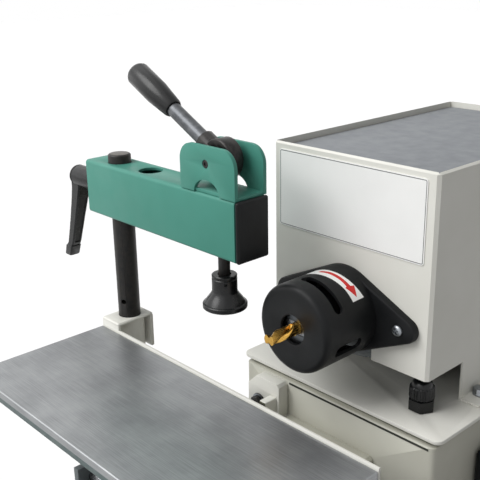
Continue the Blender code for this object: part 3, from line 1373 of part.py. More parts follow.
def make_table(carrier):
    """Table top with its ground upper layer, and the saddle that slides on the travel rods."""
    table = box(
        "table_top", (TABLE_LEFT, TABLE_RIGHT), (TABLE_FRONT, TABLE_BACK), (TABLE_UNDERSIDE, TABLE_TOP),
        TABLE_BEVEL)
    dress(table, "ground_steel", carrier)

    travel_z = CARRIAGE_TOP + TRAVEL_ROD_RISE
    block_base = travel_z - SADDLE_BLOCK / HALVES
    block_top = travel_z + SADDLE_BLOCK / HALVES
    plate_top = TABLE_UNDERSIDE - GAP
    plate_base = plate_top - SADDLE_TOP_THICKNESS
    saddle = box(
        "table_saddle", (SADDLE_LEFT, SADDLE_RIGHT), (SADDLE_FRONT, SADDLE_BACK), (block_base, block_top),
        CASTING_CORNER)
    neck = box(
        "neck", (SADDLE_LEFT + SADDLE_NECK_INSET, SADDLE_RIGHT - SADDLE_NECK_INSET),
        (SADDLE_FRONT + SADDLE_NECK_INSET, SADDLE_BACK - SADDLE_NECK_INSET),
        (block_top - CASTING_CORNER, plate_base + CASTING_CORNER))
    plate = box(
        "plate", (SADDLE_TOP_LEFT, SADDLE_TOP_RIGHT), (SADDLE_TOP_FRONT, SADDLE_TOP_BACK),
        (plate_base, plate_top), CASTING_CORNER / HALVES)
    join(saddle, neck, plate)
    pin_y = TRAVEL_PIVOT_Y - LEVER_REACH
    join(saddle, rod(
        "pin", (TRAVEL_PIN_REST_X, pin_y, CARRIAGE_TOP + LEVER_LIFT - OVERRUN),
        (TRAVEL_PIN_REST_X, pin_y, plate_top - OVERRUN), DRIVE_PIN_RADIUS, SMALL_SIDES))
    for y in (TRAVEL_ROD_FRONT, TRAVEL_ROD_BACK):
        cut(saddle, rod(
            "rod_bore", (SADDLE_LEFT - OVERRUN, y, travel_z), (SADDLE_RIGHT + OVERRUN, y, travel_z),
            TRAVEL_ROD_RADIUS + SLIDE_FIT))
    dress(saddle, "grey_casting", carrier)


def make_bracket(carrier):
    """Bent sheet at the table's back: web with the post's socket, rear flange and a lip along the table."""
    web_base = BRACKET_TOP - SHEET
    lip_front = TABLE_BACK + GAP
    lip_back = lip_front + LIP_THICKNESS
    lip_top = TABLE_TOP + LIP_RISE
    bracket = box(
        "post_bracket", (BRACKET_LEFT, BRACKET_RIGHT), (lip_front, BRACKET_BACK), (web_base, BRACKET_TOP),
        BRACKET_BEND / HALVES)
    front_flange = box(
        "front_flange", (BRACKET_LEFT + GAP, BRACKET_RIGHT - GAP), (lip_front + GAP, lip_front + SHEET),
        (TABLE_UNDERSIDE + GAP, BRACKET_TOP - BRACKET_BEND))
    rear_flange = box(
        "rear_flange", (BRACKET_LEFT + GAP, BRACKET_RIGHT - GAP),
        (BRACKET_BACK - SHEET, BRACKET_BACK - GAP),
        (BRACKET_TOP - REAR_FLANGE_DROP, BRACKET_TOP - BRACKET_BEND))
    lip = box(
        "lip", (BRACKET_LEFT + BRACKET_BEND, TABLE_RIGHT), (lip_front + GAP / HALVES, lip_back),
        (TABLE_UNDERSIDE, lip_top))
    socket_top = web_base + SHEET / HALVES
    socket_base = BRACKET_TOP - POST_SOCKET_DEPTH - POST_SOCKET_FLOOR
    outer = POST_RADIUS + POST_SOCKET_WALL
    socket = rod("socket", (POST_X, POST_Y, socket_base), (POST_X, POST_Y, socket_top), outer)
    join(bracket, front_flange, rear_flange, lip, socket)
    cut(bracket, rod(
        "post_bore", (POST_X, POST_Y, BRACKET_TOP - POST_SOCKET_DEPTH),
        (POST_X, POST_Y, BRACKET_TOP + OVERRUN),
        POST_RADIUS + SLIDE_FIT))
    dress(bracket, "beige_paint", carrier)


def make_post(carrier):
    base = BRACKET_TOP - POST_SOCKET_DEPTH + GAP
    length = POST_TOP - base
    profile = [
        (0, 0), (POST_RADIUS - POST_CHAMFER, 0), (POST_RADIUS, POST_CHAMFER),
        (POST_RADIUS, length - POST_CHAMFER),
        (POST_RADIUS - POST_CHAMFER, length), (0, length)]
    post = turned("clamp_post", profile, (POST_X, POST_Y, base), (0, 0, 1), FINE_SIDES)
    reach = POST_RADIUS * 2
    step = (reach * math.cos(POST_HOLE_TURN), reach * math.sin(POST_HOLE_TURN))
    cut(post, rod(
        "cross_hole", (POST_X - step[0], POST_Y - step[1], POST_HOLE_Z),
        (POST_X + step[0], POST_Y + step[1], POST_HOLE_Z), POST_HOLE_RADIUS, SMALL_SIDES))
    dress(post, "black_steel", carrier)


def make_arm(carrier):
    """Rectangular tube with its holes and welded end plug, the end cap and the saddle of the cam."""
    outer = rounded((ARM_FRONT, ARM_BACK), (ARM_BASE, ARM_TOP), ARM_CORNER)
    bore = rounded(
        (ARM_FRONT + ARM_WALL, ARM_BACK - ARM_WALL), (ARM_BASE + ARM_WALL, ARM_TOP - ARM_WALL),
        ARM_CORNER / 3)
    place = Matrix.Translation(((ARM_LEFT + ARM_RIGHT) / HALVES, 0, 0)) @ SIDE_VIEW
    arm = flat("clamp_arm", outer, ARM_RIGHT - ARM_LEFT, place, [bore])
    for x, radius in (
            (POST_X, POST_RADIUS + SLIDE_FIT), (ARM_HOLE_X, ARM_HOLE_RADIUS),
            (PLUNGER_X, PLUNGER_RADIUS + SLIDE_FIT)):
        cut(arm, rod(
            "arm_hole", (x, POST_Y, ARM_BASE - OVERRUN), (x, POST_Y, ARM_TOP + OVERRUN), radius))
    weld = ARM_WALL / HALVES
    join(arm, box(
        "end_plug", (ARM_LEFT + GAP, ARM_LEFT + END_PLUG_LENGTH), (ARM_FRONT + weld, ARM_BACK - weld),
        (ARM_BASE + weld, ARM_TOP - weld)))
    cut(arm, rod(
        "stud_bore", (ARM_LEFT - OVERRUN, POST_Y, ARM_MIDDLE),
        (ARM_LEFT + END_PLUG_LENGTH + OVERRUN, POST_Y, ARM_MIDDLE),
        LOCK_STUD + SLIDE_FIT, SMALL_SIDES))
    dress(arm, "green_paint", carrier)

    inset = ARM_WALL + GAP
    cap = box(
        "arm_end_cap", (ARM_RIGHT + GAP, ARM_RIGHT + GAP + END_CAP_THICKNESS), (ARM_FRONT, ARM_BACK),
        (ARM_BASE, ARM_TOP), ARM_CORNER / HALVES)
    plug = box(
        "plug", (ARM_RIGHT - END_CAP_PLUG, ARM_RIGHT + GAP * 2), (ARM_FRONT + inset, ARM_BACK - inset),
        (ARM_BASE + inset, ARM_TOP - inset), ARM_CORNER / 3)
    join(cap, plug)
    dress(cap, "black_plastic", carrier)

    dress(make_saddle(), "green_paint", carrier)
    make_pin(carrier)


def ear_outline():
    """One ear: two feet with an arch between them and rounded upper corners."""
    base = ARM_TOP + GAP
    outline = [(EAR_LEFT, base)]
    for x, height in arc((0, 0), 1, QUARTER * 2, 0, 10):
        outline.append((PLUNGER_X + x * EAR_ARCH_HALF_WIDTH, base + height * EAR_ARCH_RISE))
    outline.append((EAR_RIGHT, base))
    outline += arc((EAR_RIGHT - EAR_ROUND, EAR_TOP - EAR_ROUND), EAR_ROUND, 0, QUARTER, 8)
    outline += arc((EAR_LEFT + EAR_ROUND, EAR_TOP - EAR_ROUND), EAR_ROUND, QUARTER, QUARTER * 2, 8)
    return outline


def make_saddle():
    """Two ears on a thin web, bent from one sheet."""
    front = Matrix.Translation((0, ARM_FRONT + EAR / HALVES, 0)) @ FRONT_VIEW
    back = Matrix.Translation((0, ARM_BACK - EAR / HALVES, 0)) @ FRONT_VIEW
    saddle = flat("cam_saddle", ear_outline(), EAR, front)
    far_ear = flat("far_ear", ear_outline(), EAR, back)
    base = ARM_TOP + GAP
    web = box(
        "web", (EAR_LEFT + GAP, EAR_RIGHT - GAP), (ARM_FRONT + EAR / HALVES, ARM_BACK - EAR / HALVES),
        (base, base + SADDLE_WEB))
    join(saddle, web, far_ear)
    cut(saddle, rod(
        "plunger_hole", (PLUNGER_X, POST_Y, base - OVERRUN),
        (PLUNGER_X, POST_Y, base + SADDLE_WEB + OVERRUN),
        PLUNGER_RADIUS + SLIDE_FIT))
    cut(saddle, rod(
        "pin_hole", (PIVOT_X, ARM_FRONT - OVERRUN, PIVOT_Z), (PIVOT_X, ARM_BACK + OVERRUN, PIVOT_Z),
        PIN_RADIUS + GAP, SMALL_SIDES))
    return saddle


def make_pin(carrier):
    """Pivot pin with a head at the front and a collar at the back."""
    head = PIN_HEAD_HEIGHT + GAP
    length = ARM_WIDTH + head * HALVES
    profile = [
        (0, 0), (PIN_HEAD, 0), (PIN_HEAD, PIN_HEAD_HEIGHT), (PIN_RADIUS, PIN_HEAD_HEIGHT),
        (PIN_RADIUS, length - PIN_HEAD_HEIGHT), (PIN_HEAD, length - PIN_HEAD_HEIGHT), (PIN_HEAD, length),
        (0, length)]
    pin = turned("pivot_pin", profile, (PIVOT_X, ARM_FRONT - head, PIVOT_Z), (0, 1, 0), SMALL_SIDES)
    dress(pin, "dark_steel", carrier)


def make_cam(carrier):
    """Eccentric cam, its lever rod and the grip."""
    centre = Vector((PIVOT_X + CAM_OFFSET_X, POST_Y, PIVOT_Z + CAM_OFFSET_Z))
    along = Vector((-math.cos(LEVER_RISE), 0, math.sin(LEVER_RISE)))
    half = CAM_THICKNESS / HALVES
    cam = rod(
        "cam_hub", centre - Vector((0, half, 0)), centre + Vector((0, half, 0)), CAM_RADIUS, FINE_SIDES)
    add_bevel(cam, CAM_BEVEL, 1)
    boss = rod("boss", centre, centre + along * HANDLE_BOSS_REACH, HANDLE_BOSS, SMALL_SIDES)
    handle_hole = rod(
        "handle_hole", centre + along * (CAM_RADIUS - HANDLE_BOSS / HALVES), centre + along * GRIP_START,
        HANDLE_ROD + GAP, SMALL_SIDES)
    bore = rod(
        "bore", (PIVOT_X, POST_Y - CAM_THICKNESS, PIVOT_Z), (PIVOT_X, POST_Y + CAM_THICKNESS, PIVOT_Z),
        PIN_RADIUS + SLIDE_FIT, SMALL_SIDES)
    join(cam, boss)
    cut(cam, handle_hole, bore)
    dress(cam, "green_paint", carrier)

    seat = CAM_RADIUS - HANDLE_BOSS / HALVES + GAP
    end = GRIP_START + GRIP_LENGTH / HALVES
    handle = rod("lever_rod", centre + along * seat, centre + along * end, HANDLE_ROD, SMALL_SIDES)
    dress(handle, "dark_steel", carrier)

    body = GRIP_LENGTH - GRIP_TIP
    profile = [
        (0, GRIP_LENGTH / HALVES + GAP), (HANDLE_ROD + GAP, GRIP_LENGTH / HALVES + GAP),
        (HANDLE_ROD + GAP, 0)]
    profile += [(GRIP_NECK, 0), (GRIP_NECK + OVERRUN / HALVES, OVERRUN)]
    profile += [(GRIP_RADIUS, GRIP_SWELL), (GRIP_RADIUS, body)]
    profile += [
        (GRIP_RADIUS * math.cos(a), body + GRIP_TIP * math.sin(a)) for a in (QUARTER / 3, QUARTER * 2 / 3)]
    profile.append((0, GRIP_LENGTH))
    grip = turned("lever_grip", profile, centre + along * GRIP_START, along)
    dress(grip, "black_plastic", carrier)


def make_plunger(carrier, foot_carrier):
    """Plunger rod with its collar, return spring and swivelling foot."""
    seat = FOOT_BASE + FOOT_SEAT
    profile = [(0, 0), (PLUNGER_RADIUS, 0)]
    collar = PLUNGER_COLLAR_Z - seat
    profile += [(PLUNGER_RADIUS, collar), (PLUNGER_COLLAR, collar)]
    profile += [
        (PLUNGER_COLLAR, collar + PLUNGER_COLLAR_HEIGHT), (PLUNGER_RADIUS, collar + PLUNGER_COLLAR_HEIGHT)]
    profile += [(PLUNGER_RADIUS, PLUNGER_TOP - seat), (0, PLUNGER_TOP - seat)]
    rod_piece = turned("plunger_rod", profile, (PLUNGER_X, POST_Y, seat), (0, 0, 1), SMALL_SIDES)
    dress(rod_piece, "dark_steel", carrier)

    low = ARM_BASE + ARM_WALL + SPRING_WIRE + GAP
    high = PLUNGER_COLLAR_Z - SPRING_WIRE - GAP
    points = []
    count = SPRING_TURNS * SPRING_TURN_POINTS
    for index in range(count + 1):
        angle = FULL_TURN * index / SPRING_TURN_POINTS
        height = low + (high - low) * index / count
        points.append((
            PLUNGER_X + SPRING_RADIUS * math.cos(angle), POST_Y + SPRING_RADIUS * math.sin(angle), height))
    spring = tube("plunger_spring", points, SPRING_WIRE, roundness=1)
    dress(spring, "ground_steel", carrier)

    bore = PLUNGER_RADIUS + SLIDE_FIT
    cone_top = FOOT_COLLAR_BASE
    profile = [
        (0, FOOT_SEAT - GAP), (bore, FOOT_SEAT - GAP), (bore, FOOT_HEIGHT),
        (FOOT_COLLAR - GAP * 3, FOOT_HEIGHT),
        (FOOT_COLLAR, FOOT_HEIGHT - GAP * 3), (FOOT_COLLAR, cone_top),
        (FOOT_NECK, cone_top - OVERRUN / HALVES),
        (FOOT_RADIUS, FOOT_RIM), (FOOT_RADIUS, GAP * 3), (FOOT_RADIUS - GAP * 3, 0), (0, 0)]
    foot = turned("plunger_foot", list(reversed(profile)), (PLUNGER_X, POST_Y, FOOT_BASE), (0, 0, 1))
    dress(foot, "black_plastic", foot_carrier)


def make_lock(carrier):
    """Lock lever: ringed hub on its stud and a tapered handle that leans away from the arm."""
    start = ARM_LEFT - GAP
    profile = [
        (0, OVERRUN * 3), (LOCK_STUD + GAP, OVERRUN * 3), (LOCK_STUD + GAP, 0), (LOCK_HUB, 0),
        (LOCK_HUB, LOCK_LENGTH - LOCK_DOME)]
    profile += [
        (LOCK_HUB * math.cos(a), LOCK_LENGTH - LOCK_DOME + LOCK_DOME * math.sin(a))
        for a in (QUARTER / 3, QUARTER * 2 / 3)]
    profile.append((0, LOCK_LENGTH))
    hub = turned("lock_lever", profile, (start, POST_Y, ARM_MIDDLE), (-1, 0, 0))
    points = []
    shares = []
    route = (
        (LOCK_ROOT_X, 0), (LOCK_ROOT_X - LOCK_ROOT_DROP / 3, LOCK_ROOT_DROP), (LOCK_MID_X, LOCK_MID_DROP),
        (LOCK_TIP_X, LOCK_TIP_DROP))
    tip_share = LOCK_HANDLE_TIP / LOCK_HANDLE_ROOT
    for index, (x, drop) in enumerate(route):
        points.append((x, POST_Y, ARM_MIDDLE - drop))
        shares.append(1 + (tip_share - 1) * index / (len(route) - 1))
    handle = tube("handle", points, LOCK_HANDLE_ROOT, shares, 4)
    join(hub, handle)
    dress(hub, "black_plastic", carrier)
    stud_end = POST_X - POST_RADIUS - GAP * 2
    stud = rod(
        "lock_stud", (start - OVERRUN * 3 + GAP, POST_Y, ARM_MIDDLE), (stud_end, POST_Y, ARM_MIDDLE),
        LOCK_STUD, SMALL_SIDES)
    dress(stud, "ground_steel", carrier)


def build():
    make_base()
    make_cover()
    make_bolts()
    make_motor()
    make_lead()
    make_guard()
    make_front()
    make_columns()

    axis = (0, 0, SPINDLE_HEIGHT)
    spindle = pivot("spindle_axis", axis)
    left_jaw = pivot("left_jaw_axis", axis, spindle)
    right_jaw = pivot("right_jaw_axis", axis, spindle)
    make_spindle(spindle, left_jaw, right_jaw)

    switch_face = BASE_HALF_WIDTH - HOUSING_INSET + SWITCH_DEPTH
    start = pivot("start_axis", (switch_face, SWITCH_FRONT, SWITCH_BASE))
    stop = pivot("stop_axis", (switch_face, SWITCH_FRONT, SWITCH_BASE))
    make_switch(start, stop)

    knee = pivot("lift_axis", (0, COLUMN_Y, KNEE_BASE))
    nut = pivot("nut_axis", (0, COLUMN_Y, KNEE_BASE), knee)
    wheel = pivot("wheel_axis", (0, END_PLATE_FRONT, KNEE_BASE + DRIVE_RISE), knee)
    make_knee(knee, nut, wheel)
    depth_base = depth_lever_base()
    depth_lever = pivot("depth_lever_axis", (DEPTH_PIVOT_X, depth_pivot_y(), depth_base), knee)
    carriage = pivot("depth_axis", (0, DEPTH_PIN_REST_Y, CARRIAGE_BASE), knee)
    make_carriage(carriage)
    travel_base = CARRIAGE_TOP + LEVER_LIFT
    travel_lever = pivot("travel_lever_axis", (travel_pivot_x(), TRAVEL_PIVOT_Y, travel_base), carriage)
    gain = LEVER_REACH * LEVER_GAIN_SHARE
    depth_turn = (DEPTH_PIN_REST_Y - depth_pivot_y()) / gain
    travel_turn = (TRAVEL_PIN_REST_X - travel_pivot_x()) / gain
    make_lever("depth_lever", (DEPTH_PIVOT_X, depth_pivot_y(), depth_base), depth_turn, depth_lever)
    make_lever(
        "travel_lever", (travel_pivot_x(), TRAVEL_PIVOT_Y, travel_base), travel_turn - QUARTER,
        travel_lever)

    table = pivot("travel_axis", (TRAVEL_PIN_REST_X, TRAVEL_PIVOT_Y, TABLE_TOP), carriage)
    make_table(table)
    make_bracket(table)
    post = pivot("post_axis", (POST_X, POST_Y, BRACKET_TOP), table)
    make_post(post)
    arm = pivot("arm_axis", (POST_X, POST_Y, ARM_MIDDLE), post)
    make_arm(arm)
    cam = pivot("cam_axis", (PIVOT_X, POST_Y, PIVOT_Z), arm)
    make_cam(cam)
    plunger = pivot("plunger_axis", (PLUNGER_X, POST_Y, PLUNGER_TOP), arm)
    foot = pivot("foot_axis", (PLUNGER_X, POST_Y, FOOT_BASE), plunger)
    make_plunger(plunger, foot)
    lock = pivot("lock_axis", (ARM_LEFT, POST_Y, ARM_MIDDLE), arm)
    make_lock(lock)


clear_scene()
PARTS = new_collection(COLLECTION)
CUTTERS = new_collection("cutters")
build()
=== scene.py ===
"""Horizontal slot mortiser: finishes, fine pieces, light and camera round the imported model."""
import json
import math

import bmesh
import bpy
from mathutils import Matrix, Vector

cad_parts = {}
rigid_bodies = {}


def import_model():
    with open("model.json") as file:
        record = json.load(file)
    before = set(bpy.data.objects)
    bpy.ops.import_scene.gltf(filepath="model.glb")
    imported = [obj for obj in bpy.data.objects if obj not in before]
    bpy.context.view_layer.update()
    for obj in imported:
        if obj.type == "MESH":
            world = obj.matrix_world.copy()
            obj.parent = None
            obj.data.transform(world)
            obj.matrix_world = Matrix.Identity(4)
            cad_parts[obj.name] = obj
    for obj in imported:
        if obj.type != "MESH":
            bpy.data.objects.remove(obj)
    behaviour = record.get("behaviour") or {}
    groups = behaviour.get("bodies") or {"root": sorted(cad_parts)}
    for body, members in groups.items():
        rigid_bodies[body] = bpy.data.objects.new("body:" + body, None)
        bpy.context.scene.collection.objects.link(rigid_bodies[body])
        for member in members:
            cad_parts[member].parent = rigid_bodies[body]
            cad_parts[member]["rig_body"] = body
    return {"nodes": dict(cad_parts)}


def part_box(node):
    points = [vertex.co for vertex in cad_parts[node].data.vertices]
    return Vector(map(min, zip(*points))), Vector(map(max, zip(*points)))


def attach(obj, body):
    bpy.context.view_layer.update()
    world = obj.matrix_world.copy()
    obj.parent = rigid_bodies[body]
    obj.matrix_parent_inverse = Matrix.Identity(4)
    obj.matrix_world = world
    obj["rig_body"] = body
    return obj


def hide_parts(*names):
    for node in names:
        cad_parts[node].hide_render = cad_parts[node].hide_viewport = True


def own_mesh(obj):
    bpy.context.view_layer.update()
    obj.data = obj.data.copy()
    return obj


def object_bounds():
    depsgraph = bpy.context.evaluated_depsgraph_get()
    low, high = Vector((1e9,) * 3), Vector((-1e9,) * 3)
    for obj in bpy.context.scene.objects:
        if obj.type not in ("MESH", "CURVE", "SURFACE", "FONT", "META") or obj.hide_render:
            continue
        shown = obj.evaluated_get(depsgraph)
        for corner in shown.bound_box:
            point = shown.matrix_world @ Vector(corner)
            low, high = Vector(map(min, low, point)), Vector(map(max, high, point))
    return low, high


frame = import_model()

CAD_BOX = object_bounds()
MM = 0.001
FULL_TURN = math.pi * 2
SMOOTH_ANGLE = math.radians(35)

# The camera, as the straight edges of the machine place it
LENS = 61.743
SENSOR = 36.0
CAMERA_PLACE = (0.485376, -0.585347, 0.641749)
CAMERA_TURN = (70.989, 0.992, 47.186)

# Sizes shared with the solids, in metres
SPINDLE_HEIGHT = 0.310
GUARD_RADIUS = 0.0443
TABLE_TOP = 0.2411
POST_Y = -0.0884


# Materials

MARK_STRETCH = 40.0
GROUND_DEPTH = 7.5 * MM


def linear(code):
    """An sRGB hex colour as the linear colour that a shader reads."""
    parts = [int(code[place:place + 2], 16) / 255 for place in (1, 3, 5)]
    bright = [part / 12.92 if part <= 0.04045 else ((part + 0.055) / 1.055) ** 2.4 for part in parts]
    return (*bright, 1.0)


def add_node(tree, kind, settings=None, sockets=None):
    """Add a node with its settings, and set or link its sockets."""
    made = tree.nodes.new(kind)
    for name, value in (settings or {}).items():
        setattr(made, name, value)
    for name, value in (sockets or {}).items():
        if isinstance(value, bpy.types.NodeSocket):
            tree.links.new(value, made.inputs[name])
        else:
            made.inputs[name].default_value = value
    return made


def new_material(name, roughness, metallic=0.0, specular=0.5):
    """A bare material with its shader and Object coordinates."""
    made = bpy.data.materials.new(name)
    made.use_nodes = True
    tree = made.node_tree
    shader = tree.nodes["Principled BSDF"]
    shader.inputs["Roughness"].default_value = roughness
    shader.inputs["Metallic"].default_value = metallic
    shader.inputs["Specular IOR Level"].default_value = specular
    place = add_node(tree, "ShaderNodeTexCoord").outputs["Object"]
    return made, tree, shader, place


def cloud(tree, place, size, detail=3.0, rough=0.5):
    """Noise whose blotches are about one size across, in metres."""
    return add_node(tree, "ShaderNodeTexNoise", {}, {
        "Vector": place, "Scale": 1 / size, "Detail": detail, "Roughness": rough}).outputs["Fac"]


def spread(tree, value, low, high, start=0.3, end=0.7):
    """Map the middle of a noise to a range of values."""
    mapped = add_node(tree, "ShaderNodeMapRange", {}, {
        "Value": value, "From Min": start, "From Max": end, "To Min": low, "To Max": high})
    return mapped.outputs["Result"]


def between(tree, factor, first, second):
    """Mix two colours, each a hex code or a socket."""
    mix = add_node(tree, "ShaderNodeMix", {"data_type": "RGBA"})
    tree.links.new(factor, mix.inputs[0])
    for socket, colour in ((mix.inputs[6], first), (mix.inputs[7], second)):
        if isinstance(colour, str):
            socket.default_value = linear(colour)
        else:
            tree.links.new(colour, socket)
    return mix.outputs[2]


def raise_surface(tree, shader, height, depth, strength=1.0):
    """Bump the surface by a height that is a noise or a wave."""
    bump = add_node(tree, "ShaderNodeBump", {}, {
        "Height": height, "Distance": depth, "Strength": strength})
    tree.links.new(bump.outputs["Normal"], shader.inputs["Normal"])


def sprayed_enamel(name, main, tint, roughness=0.38, grain=0.9 * MM, depth=0.03 * MM, specular=0.5):
    """Stove enamel sprayed on metal: even colour, faint orange peel, a soft gloss that drifts a little."""
    made, tree, shader, place = new_material(name, roughness, 0.0, specular)
    drift = cloud(tree, place, 60 * MM, 2.0)
    tree.links.new(between(tree, spread(tree, drift, 0.0, 1.0), main, tint), shader.inputs["Base Color"])
    tree.links.new(
        spread(tree, cloud(tree, place, 25 * MM), roughness - 0.05, roughness + 0.08),
        shader.inputs["Roughness"])
    raise_surface(tree, shader, cloud(tree, place, grain, 2.0), depth)
    return made


def moulded_plastic(name, main, tint, roughness=0.45, grain=0.6 * MM, depth=0.03 * MM, specular=0.16):
    """Plastic from a spark-eroded mould: fine even grain and little gloss."""
    made, tree, shader, place = new_material(name, roughness, 0.0, specular)
    tree.links.new(
        between(tree, spread(tree, cloud(tree, place, 30 * MM), 0.0, 1.0), main, tint),
        shader.inputs["Base Color"])
    tree.links.new(
        spread(tree, cloud(tree, place, 12 * MM), roughness - 0.06, roughness + 0.06),
        shader.inputs["Roughness"])
    raise_surface(tree, shader, cloud(tree, place, grain, 3.0, 0.6), depth)
    return made


def worked_metal(name, main, tint, roughness, along, line=0.5 * MM, depth=0.01 * MM):
    """Bare metal with its tool marks drawn out along one axis: ground, turned or brushed."""
    made, tree, shader, place = new_material(name, roughness, 1.0)
    scale = [1.0, 1.0, 1.0]
    scale[along] = 1 / MARK_STRETCH
    drawn = add_node(tree, "ShaderNodeMapping", {}, {"Vector": place, "Scale": scale}).outputs["Vector"]
    marks = cloud(tree, drawn, line, 3.0, 0.6)
    blotch = cloud(tree, place, 40 * MM, 2.0)
    both = add_node(tree, "ShaderNodeMath", {"operation": "ADD"}, {0: marks, 1: blotch}).outputs[0]
    tree.links.new(
        between(tree, spread(tree, both, 0.0, 1.0, 0.75, 1.25), main, tint), shader.inputs["Base Color"])
    tree.links.new(
        spread(tree, marks, roughness - 0.06, roughness + 0.10), shader.inputs["Roughness"])
    raise_surface(tree, shader, marks, depth)
    return made


def scuffed_steel(name, main, tint, roughness, metallic):
    """Blackened steel that handling has rubbed: brownish clouds, fine scratches, an uneven sheen."""
    made, tree, shader, place = new_material(name, roughness, metallic, 0.4)
    rubbed = cloud(tree, place, 7 * MM, 5.0, 0.65)
    tree.links.new(between(tree, spread(tree, rubbed, 0.0, 1.0, 0.4, 0.68), main, tint),
                   shader.inputs["Base Color"])
    drawn = add_node(
        tree, "ShaderNodeMapping", {}, {"Vector": place, "Scale": (1.0, 1.0, 0.15)}).outputs["Vector"]
    scratches = cloud(tree, drawn, 1.0 * MM, 4.0, 0.7)
    tree.links.new(spread(tree, rubbed, roughness - 0.08, roughness + 0.12), shader.inputs["Roughness"])
    raise_surface(tree, shader, scratches, 0.03 * MM)
    return made


def cast_iron(name, main, tint, roughness=0.6):
    """Painted sand casting: a coarse skin and cloudy colour."""
    made, tree, shader, place = new_material(name, roughness, 0.0, 0.4)
    tree.links.new(
        between(tree, spread(tree, cloud(tree, place, 12 * MM), 0.0, 1.0), main, tint),
        shader.inputs["Base Color"])
    raise_surface(tree, shader, cloud(tree, place, 1.6 * MM, 4.0, 0.65), 0.12 * MM)
    return made


def ribbed_rubber(name, main, tint, pitch=2.0 * MM):
    """Calendered rubber mat with fine ribs along its length."""
    made, tree, shader, place = new_material(name, 0.75, 0.0, 0.25)
    ribs = add_node(tree, "ShaderNodeTexWave", {"bands_direction": "X"}, {
        "Vector": place, "Scale": FULL_TURN / (20 * pitch), "Distortion": 0.0}).outputs["Fac"]
    dust = cloud(tree, place, 15 * MM, 4.0)
    tree.links.new(between(tree, spread(tree, dust, 0.0, 1.0), main, tint), shader.inputs["Base Color"])
    raise_surface(tree, shader, ribs, 0.25 * MM, 0.6)
    return made


def table_finish(name):
    """Ground steel top with a lengthwise grind, over a darker rough-rolled lower part."""
    made, tree, shader, place = new_material(name, 0.38, 0.85)
    drawn = add_node(
        tree, "ShaderNodeMapping", {}, {"Vector": place, "Scale": (0.02, 1.0, 1.0)}).outputs["Vector"]
    marks = cloud(tree, drawn, 0.9 * MM, 3.0, 0.6)
    stain = cloud(tree, place, 45 * MM, 3.0, 0.55)
    both = add_node(tree, "ShaderNodeMath", {"operation": "ADD"}, {0: marks, 1: stain}).outputs[0]
    ground = between(tree, spread(tree, both, 0.0, 1.0, 0.75, 1.25), "#848688", "#9EA0A1")
    rolled = between(
        tree, spread(tree, cloud(tree, place, 9 * MM, 4.0), 0.0, 1.0), "#4C5A5A", "#5D6968")
    height = add_node(tree, "ShaderNodeSeparateXYZ", {}, {"Vector": place}).outputs["Z"]
    upper = add_node(tree, "ShaderNodeMath", {"operation": "GREATER_THAN"}, {
        0: height, 1: TABLE_TOP - GROUND_DEPTH}).outputs[0]
    tree.links.new(between(tree, upper, rolled, ground), shader.inputs["Base Color"])
    raise_surface(tree, shader, marks, 0.015 * MM)
    return made


BEIGE = sprayed_enamel("beige stove enamel", "#E2E1DA", "#DCDBD3", 0.45, specular=0.35)
# Painted shade: a darker copy of the beige enamel for the housing's low front, which gets less light than
# the cover.
BEIGE_WITH_PAINTED_SHADE = sprayed_enamel(
    "beige stove enamel darkened as painted shade", "#C3C2B6", "#BBBAAE", 0.5, specular=0.3)
GREEN = sprayed_enamel("green machine enamel", "#46897A", "#4B9081", 0.46, 1.2 * MM, 0.04 * MM, 0.25)
BLACK = moulded_plastic("black moulded nylon", "#131415", "#1A1B1C", 0.4)
GUARD_BLACK = moulded_plastic(
    "black moulded guard plastic", "#121314", "#191A1B", 0.42, 0.8 * MM, 0.04 * MM)
GLOSSY_BLACK = moulded_plastic(
    "black lacquered zinc", "#0D0E0F", "#131415", 0.28, 1.5 * MM, 0.03 * MM, 0.32)
BURNISHED = scuffed_steel("black oxide steel", "#1B1B1B", "#2C2926", 0.45, 0.35)
CAM_STEEL = scuffed_steel("hardened dark steel", "#1F1E1E", "#353331", 0.36, 0.6)
ROD_STEEL = scuffed_steel("scuffed black steel rod", "#4B4D50", "#66686B", 0.34, 0.7)
BRIGHT = worked_metal("ground bright steel", "#8F9193", "#A8A9AA", 0.26, 2)
ZINC = worked_metal("zinc plated steel", "#85898D", "#9A9EA2", 0.33, 0, 1.2 * MM, 0.02 * MM)
DARK_STEEL = worked_metal("plain turned steel", "#4A4D50", "#5E6164", 0.36, 1)
JAW_STEEL = worked_metal("hardened jaw steel", "#6C6E70", "#87898B", 0.3, 1)
TABLE = table_finish("ground steel table")
CASTING = cast_iron("grey painted casting", "#5B6163", "#666C6D")
MOTOR = cast_iron("grey enamelled motor casting", "#6A6F72", "#73787A", 0.5)
MAT = ribbed_rubber("grey rubber tray mat", "#84878B", "#909396")
RUBBER = moulded_plastic("black rubber", "#151616", "#1D1E1E", 0.7, 0.9 * MM, 0.05 * MM, 0.2)
POST_END = scuffed_steel("worn steel end", "#4A4642", "#7A756E", 0.36, 0.7)
# Painted shade: on the base gasket this olive stands for the shadowed gap under the top plate; the stop
# bar tip uses it as its own dark face.
RECESS = moulded_plastic("olive painted gap shade, also stop bar tip", "#545444", "#5F5F4E", 0.7, 1.5 * MM, 0.05 * MM, 0.2)
